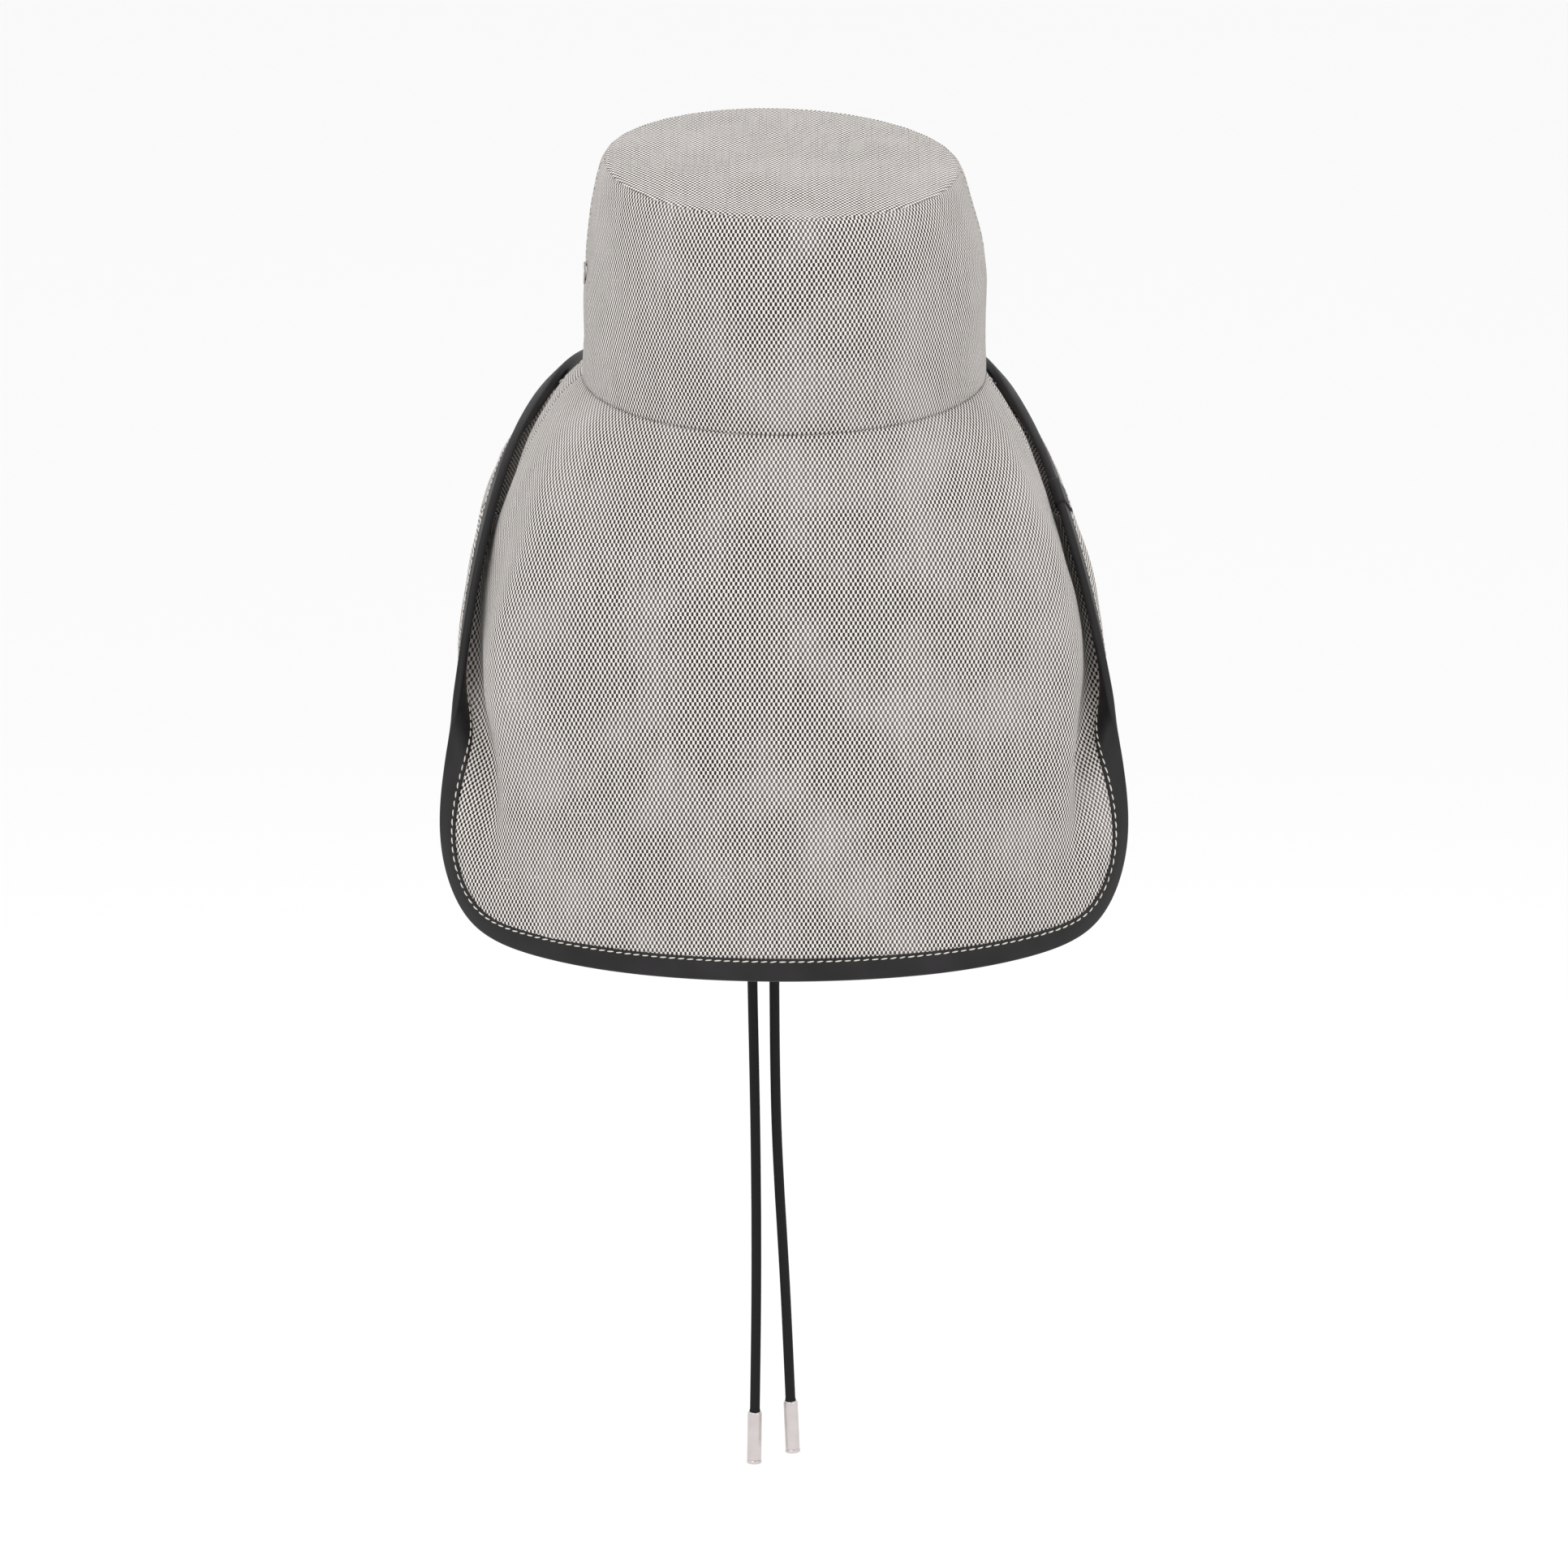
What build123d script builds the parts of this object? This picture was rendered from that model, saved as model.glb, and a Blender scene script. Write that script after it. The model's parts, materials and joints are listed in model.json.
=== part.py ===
from build123d import *
from math import cos, sin, radians, sqrt, tan
import os

os.makedirs("parts", exist_ok=True)

# Bucket hat with a long neck flap. Origin: centre of the head opening, in the plane of the
# seam that joins the crown to the brim. +Z up, +Y towards the face, +X to the wearer's right.

# ---------------------------------------------------------------- driving sizes, mm
seam_half_width = 87.5      # outside of the crown at the brim seam, side to side
seam_half_depth = 104.0     # the same, front to back
crown_height = 96.0         # brim seam to the edge of the tip
crown_tilt = 2.0            # the tip's edge is this much higher in front, lower behind
crown_taper = 0.115         # share by which the tip is narrower than the seam
crown_taper_power = 3.4     # the wall stays upright low down and leans in near the top
tip_rise = 3.5              # how far the tip domes above its edge

canvas = 0.8                # thickness of the woven canvas
lining_cloth = 0.45
stiffener = 0.4
layer_gap = 0.15
panel_gap = 0.12            # between two panels, where their seam allowance turns in
seam_drop = 1.3             # the crown's cut edge stands this far above the brim seam

leather = 0.9               # thickness of the binding strip
binding_width = 9.0
side_seam_turn = 4.8        # where the front brim is sewn to the neck flap, in stations
join_half_length = 0.2      # the short piece over the strip's two ends, in stations

sweatband_height = 32.0
sweatband_thickness = 1.2

eyelet_bore = 2.6           # radius
eyelet_flange = 5.0         # radius
eyelet_height = 48.5        # above the brim seam
eyelet_back = 8.0           # behind the hat's widest point

cord_width = 4.4            # diameter of the chin cord
cord_clearance = 0.08       # between cord and slider, on the radius
cord_snug = 0.02            # between cord and the pieces that grip it, on the radius
aglet_radius = 3.2
aglet_length = 23.6
aglet_grip = 5.7            # length of cord crimped inside the aglet
slider_height = 14.0
slider_depth = 9.4
slider_side_wall = 2.4
slider_top = -126.0         # top of the slider at rest

# Stations round the brim, from the centre front to the centre back of one side: the turn
# round the brim seam in degrees (90 is the front), then x, y, z of the bound edge, the
# share of roll in that edge, and how far the cloth bulges between seam and edge.
stations = [
    (90, 0, 162, -28, 0.0, 0),
    (69, 47, 150, -23, 0.0, 0),
    (50, 84, 117, -15, 0.0, 1),
    (30, 107, 68, -26, 0.3, 3),
    (12, 119, 22, -35, 0.8, 6),
    (-3, 127, -18, -52, 1.0, 9),
    (-13, 135.5, -41, -84, 1.0, 12),
    (-21, 143, -55, -121, 0.7, 15),
    (-29, 148, -66, -157, 0.35, 17),
    (-38, 150.5, -74, -192, 0.1, 17),
    (-48, 139, -87, -224, 0.0, 16),
    (-60, 115, -113, -230, 0.0, 12),
    (-74, 68, -142, -232, 0.0, 8),
    (-90, 0, -155, -232, 0.0, 6),
]
# control points inward from a flat edge: distance, and the most it may be of the brim's width
flat_insets = [(7.0, 0.14), (18.0, 0.33), (34.0, 0.56)]
# control points beside a rolled edge: inward, and along the outward normal
roll_belly = (-12, -6)
roll_floor = (-8, -24)
roll_wall = (7, -22)
roll_ridge = (10, 16)

# Routes of the two chin cords, from the loop inside the hat down into the aglet. The long
# upright runs are pulled straight by the aglets, and the slider travels on the first of them.
cord_routes = {
    "left": [
        (-81.8, 0.0, -5.0), (-81.8, 0.0, -31.0), (-68.0, 1.6, -62.0), (-14.8, 0.0, -96.0),
        (-14.8, 0.0, -232.0), (-12.4, 0.0, -344.0), (-12.0, 0.0, -413.0), (-12.9, 0.0, -476.0),
    ],
    "right": [
        (81.8, 0.0, -5.0), (81.8, 0.0, -31.0), (52.0, 1.6, -64.0), (-4.6, 0.0, -96.0),
        (-4.6, 0.0, -232.0), (-3.7, 0.0, -342.0), (0.4, 0.0, -408.0), (3.1, 0.0, -471.0),
    ],
}


# ---------------------------------------------------------------- small vector helpers
def step(point, *moves):
    """The point moved by a length along each (direction, length)."""
    for direction, length in moves:
        point = tuple(a + b * length for a, b in zip(point, direction))
    return point


def between(p, q, share):
    return tuple(a + (b - a) * share for a, b in zip(p, q))


def minus(p, q):
    return tuple(a - b for a, b in zip(p, q))


def dot(p, q):
    return sum(a * b for a, b in zip(p, q))


def cross(p, q):
    return (p[1] * q[2] - p[2] * q[1], p[2] * q[0] - p[0] * q[2], p[0] * q[1] - p[1] * q[0])


def unit(p):
    length = sqrt(dot(p, p))
    return tuple(a / length for a in p)


# ---------------------------------------------------------------- the brim and flap surface
# One bicubic B-spline sheet runs from the brim seam to the bound edge, all the way round.
def edge_at(k):
    """The bound edge at station k, which may lie on either side of the hat."""
    count = len(stations) - 1
    k = k % (2 * count)
    x, y, z = stations[min(k, 2 * count - k)][1:4]
    return (x if k <= count else -x, y, z)


def turn_at(k):
    """The turn round the brim seam at station k, running on past the front and the back."""
    if k < 0:
        return 180 - stations[-k][0]
    if k >= len(stations):
        return -180 - stations[2 * len(stations) - 2 - k][0]
    return stations[k][0]


def control_line(k):
    """Eight control points from the brim seam to the bound edge at station k.

    A spline runs inside its control points, so those on the seam stand out by the same share.
    """
    turn, x, y, z, roll, bulge = stations[k]
    out = (cos(radians(turn)), sin(radians(turn)), 0.0)
    up = (0.0, 0.0, 1.0)
    shrink = (4 + cos(radians(turn - turn_at(k + 1))) + cos(radians(turn - turn_at(k - 1)))) / 6
    seam = (seam_half_width * out[0] / shrink, seam_half_depth * out[1] / shrink, 0.0)
    edge = (x, y, z)
    along = unit(minus(edge_at(k + 1), edge_at(k - 1)))
    to_seam = minus(seam, edge)
    inward = step(to_seam, (along, -dot(to_seam, along)))
    width = sqrt(dot(inward, inward))
    inward = unit(inward)
    normal = cross(inward, along)
    flat = [step(edge, (inward, min(d, most * width))) for d, most in flat_insets]
    flat.append(step(between(seam, edge, 0.58), (out, bulge)))
    rolled = [
        step(edge, (inward, a), (normal, b))
        for a, b in (roll_belly, roll_floor, roll_wall, roll_ridge)
    ]
    belly, floor, wall, ridge = [between(f, r, roll) for f, r in zip(flat, rolled)]
    shoulder = step(between(seam, edge, 0.10), (out, 0.5 * bulge), (up, 0.15 * bulge))
    side = step(between(seam, edge, 0.32), (out, bulge), (up, 0.3 * bulge))
    return [seam, shoulder, side, ridge, wall, floor, belly, edge]


half_net = [control_line(k) for k in range(len(stations))]
other_half = [[(-x, y, z) for x, y, z in line] for line in half_net[-2:0:-1]]
net = half_net + other_half
full_turn = len(net)


def blend(a, b, c, d, t):
    """A point of a uniform cubic B-spline, at share t of the span from b to c."""
    weights = (
        (1 - t) ** 3 / 6,
        (3 * t**3 - 6 * t * t + 4) / 6,
        (-3 * t**3 + 3 * t * t + 3 * t + 1) / 6,
        t**3 / 6,
    )
    return tuple(sum(w * p[i] for w, p in zip(weights, (a, b, c, d))) for i in range(3))


def sheet(turn, drop):
    """The sheet's point at turn stations from the front, and drop 0 (seam) to 1 (edge)."""
    first = int(turn // 1)
    points = []
    for line in [net[(first + j) % full_turn] for j in (-1, 0, 1, 2)]:
        at = drop * (len(line) - 1)
        i = min(int(at), len(line) - 2)
        before = line[i - 1] if i else between(line[1], line[0], 2)
        after = line[i + 2] if i + 2 < len(line) else between(line[-2], line[-1], 2)
        points.append(blend(before, line[i], line[i + 1], after, at - i))
    return blend(*points, turn - first)


def sheet_normal(turn, drop):
    """The unit normal on the side that shows from outside and above."""
    small = 0.01
    low, high = max(drop - small, 0.0), min(drop + small, 1.0)
    down = minus(sheet(turn, high), sheet(turn, low))
    round_way = minus(sheet(turn + small, drop), sheet(turn - small, drop))
    return unit(cross(round_way, down))


def raised(turn, drop, height):
    return step(sheet(turn, drop), (sheet_normal(turn, drop), height))


def drop_at(turn, inset):
    """The drop at which the sheet lies this far inside the bound edge."""
    small, drop, gone = 0.004, 1.0, 0.0
    here = sheet(turn, drop)
    while gone < inset:
        there = sheet(turn, drop - small)
        reach = sqrt(dot(minus(there, here), minus(there, here)))
        if gone + reach >= inset:
            return drop - small * (inset - gone) / reach
        gone, drop, here = gone + reach, drop - small, there
    return drop


seam_turns = [
    round(side + shift, 1)
    for side in (-side_seam_turn, side_seam_turn,
                 full_turn - side_seam_turn, full_turn + side_seam_turn)
    for shift in (-join_half_length, 0, join_half_length)
]


def section(turn, ring):
    """The section's wire; near a side seam it is laid flat, so that pieces meet there squarely."""
    at = round(turn, 1)
    if at in seam_turns and abs(at - turn) < 0.02:
        chord = unit(minus(sheet(at, 1.0), sheet(at, 0.0)))
        along = minus(sheet(at + 0.01, 0.5), sheet(at - 0.01, 0.5))
        across = unit(step(along, (chord, -dot(along, chord))))
        ring = [step(p, (across, -dot(minus(p, sheet(turn, 0.0)), across))) for p in ring]
    return Wire.make_polygon(ring)


def section_turns(first, last):
    """Where the sections stand: both ends, every half station, and about the side seams."""
    near = 0.015
    inner = {k / 2 for k in range(-10, 4 * full_turn)} | set(seam_turns)
    return [first, *sorted(k for k in inner if first + near < k < last - near), last]


def edge_drops(turn, width):
    """Drops of the three rows of points under the binding."""
    return [drop_at(turn, width * share) for share in (1.0, 0.67, 0.33)]


def brim_layer(first, last, height, thickness):
    """A cloth layer of the brim from turn first to last, standing off the middle sheet."""
    rows = 9
    sections = []
    for turn in section_turns(first, last):
        bound = edge_drops(turn, binding_width)
        drops = [bound[0] * j / rows for j in range(rows)] + bound + [1.0]
        top = [raised(turn, drop, height + thickness) for drop in drops]
        bottom = [raised(turn, drop, height) for drop in reversed(drops)]
        sections.append(section(turn, top + bottom))
    return Solid.make_loft(sections, ruled=True)


# ---------------------------------------------------------------- the crown surface
def crown_point(angle, share, inset):
    """A point of the crown's wall, share 0 (seam) to 1 (tip), inset from the outside."""
    narrow = 1 - crown_taper * share**crown_taper_power
    x = (seam_half_width * narrow - inset) * cos(angle)
    y = (seam_half_depth * narrow - inset) * sin(angle)
    return (x, y, share * (crown_height + crown_tilt * sin(angle)))


def crown_wall(first, last, low, high, inset, thickness):
    """A panel of the crown's wall between two angles and two heights, thickened inwards."""
    columns = 24
    rows = 12
    points = []
    for i in range(columns + 1):
        angle = radians(first + (last - first) * i / columns)
        line = []
        for j in range(rows + 1):
            z = low + (high - low) * j / rows
            share = z / (crown_height + crown_tilt * sin(angle))
            line.append(crown_point(angle, share, inset))
        points.append(line)
    return Solid.thicken(Face.make_surface_from_array_of_points(points, tol=0.01), -thickness)


def tip_dome(below, thickness):
    """A square domed slab, below the outside of the tip, to be trimmed to the tip's oval."""
    reach = 1.08
    rows = 20
    half_width = seam_half_width * (1 - crown_taper)
    half_depth = seam_half_depth * (1 - crown_taper)
    points = []
    for i in range(rows + 1):
        line = []
        for j in range(rows + 1):
            a = reach * (2 * i / rows - 1)
            b = reach * (2 * j / rows - 1)
            z = crown_height + crown_tilt * b + tip_rise * (1 - a * a - b * b) - below
            line.append((a * half_width, b * half_depth, z))
        points.append(line)
    return Solid.thicken(Face.make_surface_from_array_of_points(points, tol=0.01), -thickness)


def band_top(depth):
    """Height of the crown wall's upper edge when the tip above it is depth thick."""
    return crown_height - crown_tilt - depth - layer_gap


def oval_ring(low, high, inset, thickness):
    """An upright oval ring that follows the brim seam."""
    with BuildPart() as ring:
        with BuildSketch(Plane.XY.offset(low)):
            Ellipse(seam_half_width - inset, seam_half_depth - inset)
            Ellipse(
                seam_half_width - inset - thickness,
                seam_half_depth - inset - thickness,
                mode=Mode.SUBTRACT,
            )
        extrude(amount=high - low)
    return ring.part


def eyelet_plane(side):
    """The plane of the vent eyelet's outer face, its Z axis along +X or -X."""
    share = eyelet_height / crown_height
    narrow = 1 - crown_taper * share**crown_taper_power
    across = sqrt(1 - (eyelet_back / (seam_half_depth * narrow)) ** 2)
    return Plane(
        origin=(side * seam_half_width * narrow * across, -eyelet_back, eyelet_height),
        x_dir=(0, 1, 0),
        z_dir=(side, 0, 0),
    )


def eyelet_hole(radius):
    """Two short round cutters through the crown's sides, where the eyelets sit."""
    with BuildPart() as cutters:
        for side in (1, -1):
            with Locations(eyelet_plane(side)):
                Cylinder(radius, 16)
    return cutters.part


# ---------------------------------------------------------------- crown, outside
tip_half_width = seam_half_width * (1 - crown_taper)
tip_half_depth = seam_half_depth * (1 - crown_taper)
barrel_gap = 0.05
barrel_wall = 0.5
barrel_radius = eyelet_bore + barrel_wall

with BuildPart() as crown_tip:
    with BuildSketch():
        Ellipse(tip_half_width, tip_half_depth)
    extrude(amount=crown_height + 20)
    add(tip_dome(0, canvas), mode=Mode.INTERSECT)
crown_tip.part.label = "crown_tip"

with BuildPart() as crown_band_back:
    add(crown_wall(-180 + panel_gap, -panel_gap, seam_drop, band_top(canvas), 0, canvas))
    add(eyelet_hole(barrel_radius + barrel_gap), mode=Mode.SUBTRACT)
crown_band_back.part.label = "crown_band_back"

with BuildPart() as crown_band_front:
    add(crown_wall(panel_gap, 180 - panel_gap, seam_drop, band_top(canvas), 0, canvas))
    add(eyelet_hole(barrel_radius + barrel_gap), mode=Mode.SUBTRACT)
crown_band_front.part.label = "crown_band_front"

# ---------------------------------------------------------------- crown, inside
lining_inset = canvas + 3 * layer_gap

with BuildPart() as crown_lining_tip:
    with BuildSketch():
        Ellipse(tip_half_width - lining_inset, tip_half_depth - lining_inset)
    extrude(amount=crown_height + 20)
    add(tip_dome(canvas + 2 * layer_gap, lining_cloth), mode=Mode.INTERSECT)
crown_lining_tip.part.label = "crown_lining_tip"

lining_top = band_top(canvas + 2 * layer_gap + lining_cloth)

with BuildPart() as crown_lining_band:
    for first in (-180, 0):
        add(
            crown_wall(
                first + panel_gap, first + 180 - panel_gap,
                seam_drop, lining_top, lining_inset, lining_cloth,
            )
        )
    add(eyelet_hole(barrel_radius + barrel_gap), mode=Mode.SUBTRACT)
crown_lining_band.part.label = "crown_lining_band"

sweatband_inset = lining_inset + lining_cloth + 3 * layer_gap
with BuildPart() as sweatband:
    add(oval_ring(seam_drop, seam_drop + sweatband_height, sweatband_inset, sweatband_thickness))
sweatband.part.label = "sweatband"

tape_thickness = 0.6
with BuildPart() as seam_tape:
    add(oval_ring(-4, seam_drop - layer_gap, sweatband_inset, tape_thickness))
seam_tape.part.label = "seam_tape"

label_length = 34.0
label_height = 16.0
label_thickness = 0.5
label_sag = 2.5             # the flat label stands this far off the curved band's middle
label_face = seam_half_depth - sweatband_inset - sweatband_thickness - label_sag
with BuildPart() as size_label:
    with Locations((0, -label_face, seam_drop + sweatband_height / 2)):
        Box(label_length, label_thickness, label_height)
    fillet(size_label.edges().filter_by(Axis.Y), 2)
size_label.part.label = "size_label"

# ---------------------------------------------------------------- front brim and neck flap
outer_height = stiffener / 2 + layer_gap
front_first, front_last = -side_seam_turn, side_seam_turn
flap_first, flap_last = side_seam_turn, full_turn - side_seam_turn
turn_gap = 0.004
brim_pieces = []

for name, first, last in (
    ("front_brim", front_first, front_last),
    ("neck_flap", flap_first, flap_last),
):
    for layer, height, thickness in (
        ("outer", outer_height, canvas),
        ("stiffener", -stiffener / 2, stiffener),
        ("lining", -outer_height - canvas, canvas),
    ):
        with BuildPart() as brim_piece:
            add(brim_layer(first + turn_gap, last - turn_gap, height, thickness))
        brim_piece.part.label = f"{name}_{layer}"
        brim_pieces.append(brim_piece.part)

# ---------------------------------------------------------------- leather binding
channel = outer_height + canvas + layer_gap     # half the width of the slot in the binding


def binding_ring(turn, width, slot, thickness):
    """The U-shaped section of the binding across the bound edge."""
    edge = sheet(turn, 1.0)
    face = sheet_normal(turn, 1.0)
    out = unit(minus(edge, sheet(turn, drop_at(turn, 1.0))))
    drops = edge_drops(turn, width)
    half = slot + thickness
    reach = slot - channel + layer_gap
    upper = [raised(turn, drop, half) for drop in drops]
    lower = [raised(turn, drop, -half) for drop in reversed(drops)]
    nose = [
        step(edge, (out, reach), (face, half)),
        step(edge, (out, reach + thickness), (face, 0.55 * half)),
        step(edge, (out, reach + thickness), (face, -0.55 * half)),
        step(edge, (out, reach), (face, -half)),
    ]
    slot_low = [raised(turn, drop, -slot) for drop in drops]
    slot_high = [raised(turn, drop, slot) for drop in reversed(drops)]
    slot_end = [step(edge, (out, reach), (face, -slot)), step(edge, (out, reach), (face, slot))]
    return upper + nose + lower + slot_low + slot_end + slot_high


def binding_strip(first, last, width, slot, thickness):
    turns = section_turns(first, last)
    rings = [binding_ring(turn, width, slot, thickness) for turn in turns]
    return Solid.make_loft([section(*pair) for pair in zip(turns, rings)], ruled=True)


binding_end_gap = 0.01
with BuildPart() as edge_binding:
    add(
        binding_strip(
            side_seam_turn + binding_end_gap,
            side_seam_turn + full_turn - binding_end_gap,
            binding_width, channel, leather,
        )
    )
edge_binding.part.label = "edge_binding"

join_margin = 0.6
with BuildPart() as binding_join:
    add(
        binding_strip(
            side_seam_turn - join_half_length,
            side_seam_turn + join_half_length,
            binding_width + join_margin, channel + leather + 2 * layer_gap, 0.6 * leather,
        )
    )
binding_join.part.label = "binding_join"

# ---------------------------------------------------------------- vent eyelets
flange_lift = 0.45          # the flat flange clears the curved wall by this much
flange_thickness = 0.9
washer_depth = 2.4          # the washer's face, inside the crown
washer_thickness = 0.5
curl_radius = barrel_radius + 0.9
curl_thickness = 0.4
barrel_foot = washer_depth + washer_thickness + curl_thickness + 2 * barrel_gap
eyelet_length = flange_lift + flange_thickness + barrel_foot

eyelets = {}
washers = {}
for side, name in ((1, "right"), (-1, "left")):
    with BuildPart() as eyelet:
        with BuildSketch(eyelet_plane(side).offset(-barrel_foot)):
            Circle(barrel_radius)
        extrude(amount=eyelet_length)
        with BuildSketch(eyelet_plane(side).offset(flange_lift)):
            Circle(eyelet_flange)
        extrude(amount=flange_thickness)
        with BuildSketch(eyelet_plane(side).offset(-barrel_foot)):
            Circle(curl_radius)
        extrude(amount=curl_thickness)
        rim = eyelet.edges().filter_by(GeomType.CIRCLE).sort_by(Axis.X)
        fillet(rim.filter_by(lambda e: abs(e.radius - eyelet_flange) < 0.01), 0.4)
        with BuildSketch(eyelet_plane(side).offset(-barrel_foot)):
            Circle(eyelet_bore)
        extrude(amount=eyelet_length, mode=Mode.SUBTRACT)
    eyelet.part.label = f"vent_eyelet_{name}"
    eyelets[name] = eyelet.part

    with BuildPart() as washer:
        with BuildSketch(eyelet_plane(side).offset(-washer_depth - washer_thickness)):
            Circle(eyelet_flange + 0.4)
            Circle(barrel_radius + barrel_gap, mode=Mode.SUBTRACT)
        extrude(amount=washer_thickness)
    washer.part.label = f"eyelet_washer_{name}"
    washers[name] = washer.part

# ---------------------------------------------------------------- chin cords
anchor_width = 9.0
anchor_top = 0.7
anchor_bottom = -13.0
anchor_outer = seam_half_width - sweatband_inset - tape_thickness - layer_gap
cord_radius = cord_width / 2

anchors = {}
for name, route in cord_routes.items():
    side = 1 if route[0][0] > 0 else -1
    centre = abs(route[0][0])
    half_thickness = anchor_outer - centre
    with BuildPart() as anchor:
        with BuildSketch(Plane.XY.offset(anchor_bottom)):
            with Locations((side * centre, 0)):
                Rectangle(2 * half_thickness, anchor_width)
        extrude(amount=anchor_top - anchor_bottom)
        fillet(anchor.edges().filter_by(Axis.Z), 1.2)
        with BuildSketch(Plane.XY.offset(anchor_bottom)):
            with Locations((side * centre, 0)):
                Circle(cord_radius + cord_snug)
        extrude(amount=route[0][2] + cord_snug - anchor_bottom, mode=Mode.SUBTRACT)
    anchor.part.label = f"cord_anchor_{name}"
    anchors[name] = anchor.part


def arc_radii(route):
    """The largest tangent arcs that the runs beside each corner leave room for."""
    radii = []
    for before, here, after in zip(route, route[1:], route[2:]):
        run_in = Vector(*here) - Vector(*before)
        run_out = Vector(*after) - Vector(*here)
        half_turn = radians(run_in.get_angle(run_out)) / 2
        radii.append(0.45 * min(run_in.length, run_out.length) / tan(half_turn))
    return radii


cords = {}
for name, route in cord_routes.items():
    radii = arc_radii(route)
    with BuildPart() as cord:
        with BuildLine() as path:
            FilletPolyline(*route, radius=radii)
        with BuildSketch(Plane(origin=path.line @ 0, z_dir=path.line % 0)):
            Circle(cord_radius)
        sweep()
    cord.part.label = f"chin_cord_{name}"
    cords[name] = cord.part
    length = path.wires()[0].length
    ideal = 3.14159265 * cord_radius**2 * length
    print(
        cord.part.label, "length", round(length, 1), "radii", [round(r) for r in radii],
        "volume share", round(cord.part.volume / ideal, 4),
    )

# ---------------------------------------------------------------- slider and aglets
left_x = cord_routes["left"][3][0]
right_x = cord_routes["right"][3][0]
slider_middle = (left_x + right_x) / 2
slider_width = right_x - left_x + cord_width + 2 * slider_side_wall

with BuildPart() as cord_slider:
    with BuildSketch(Plane.XY.offset(slider_top - slider_height)):
        with Locations((slider_middle, 0)):
            RectangleRounded(slider_width, slider_depth, 4.2)
    extrude(amount=slider_height)
    fillet(cord_slider.faces().filter_by(Axis.Z).edges(), 1.0)
    with BuildSketch(Plane.XY.offset(slider_top - slider_height)):
        with Locations((left_x, 0), (right_x, 0)):
            Circle(cord_radius + cord_clearance)
    extrude(amount=slider_height, mode=Mode.SUBTRACT)
cord_slider.part.label = "cord_slider"

rim_height = 1.6
rim_radius = aglet_radius + 0.15
slit_width = 0.3
slit_depth = 0.25
aglets = {}
for name, route in cord_routes.items():
    end = Vector(*route[-1])
    hang = (end - Vector(*route[-2])).normalized()
    top = Plane(origin=end - hang * aglet_grip, z_dir=hang)
    with BuildPart() as aglet:
        with BuildSketch(top):
            Circle(aglet_radius)
        extrude(amount=aglet_length)
        with BuildSketch(top.offset(aglet_length - rim_height)):
            Circle(rim_radius)
        extrude(amount=rim_height)
        fillet(aglet.faces().sort_by(Axis.Z)[0].edges(), 0.7)
        with BuildSketch(top):
            Circle(cord_radius + cord_snug)
        extrude(amount=aglet_grip + cord_snug, mode=Mode.SUBTRACT)
        with BuildSketch(top):
            with Locations((0, aglet_radius)):
                Rectangle(slit_width, 2 * slit_depth)
        extrude(amount=aglet_length - rim_height, mode=Mode.SUBTRACT)
    aglet.part.label = f"aglet_{name}"
    aglets[name] = aglet.part

# ---------------------------------------------------------------- export
pieces = [
    crown_tip.part, crown_band_back.part, crown_band_front.part,
    crown_lining_tip.part, crown_lining_band.part,
    sweatband.part, seam_tape.part, size_label.part,
    *brim_pieces, edge_binding.part, binding_join.part,
    *eyelets.values(), *washers.values(),
    *anchors.values(), *cords.values(), cord_slider.part, *aglets.values(),
]
for piece in pieces:
    export_step(piece, f"parts/{piece.label}.step")
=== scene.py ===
import json
from math import ceil, cos, pi, radians, sin

import bpy
import bmesh
import numpy as np
from mathutils import Matrix, Vector


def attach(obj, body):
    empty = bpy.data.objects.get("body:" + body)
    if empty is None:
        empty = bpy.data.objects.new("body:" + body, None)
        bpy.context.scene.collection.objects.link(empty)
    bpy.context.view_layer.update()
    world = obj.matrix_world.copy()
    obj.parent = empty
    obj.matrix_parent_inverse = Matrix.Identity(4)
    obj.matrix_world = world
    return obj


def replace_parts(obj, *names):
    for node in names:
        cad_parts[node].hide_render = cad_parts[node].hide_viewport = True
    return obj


bl_info = {
    "name": "Neck flap sun hat",
    "version": (1, 0, 0),
    "blender": (4, 5, 0),
    "location": "View3D > Sidebar > Hat",
    "description": "Models a woven sun hat with a long neck flap over its packed CAD frame",
    "category": "Object",
}

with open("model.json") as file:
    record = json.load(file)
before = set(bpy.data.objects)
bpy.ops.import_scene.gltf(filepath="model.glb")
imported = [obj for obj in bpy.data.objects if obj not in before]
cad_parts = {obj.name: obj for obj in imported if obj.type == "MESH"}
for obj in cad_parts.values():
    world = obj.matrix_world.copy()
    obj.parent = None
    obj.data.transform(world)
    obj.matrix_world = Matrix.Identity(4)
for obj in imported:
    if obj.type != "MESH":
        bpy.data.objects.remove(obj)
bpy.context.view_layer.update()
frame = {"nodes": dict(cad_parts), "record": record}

MM = 0.001

# ---------------------------------------------------------------- sizes shared with the CAD, mm
SEAM_HALF_WIDTH = 87.5
SEAM_HALF_DEPTH = 104.0
CROWN_HEIGHT = 96.0
CROWN_TILT = 2.0
CROWN_TAPER = 0.115
CROWN_TAPER_POWER = 3.4
TIP_RISE = 3.5
CANVAS = 0.8
OUTER_FACE = 1.15           # outside of the outer cloth, from the middle sheet
BINDING_WIDTH = 9.0
BINDING_REACH = 1.05        # the binding's fold, beyond the cloth's cut edge
SIDE_SEAM = 4.8             # stations from the front
SEAM_GAP = 0.010            # stations left free at each side seam
FULL_TURN = 26
LINING_GAP = 0.35           # from the crown's cloth to its lining
LINING = 0.45
STRIP_FACE = 1.9            # outside of the long strip, from the middle sheet
STRIP = 0.70
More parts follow.
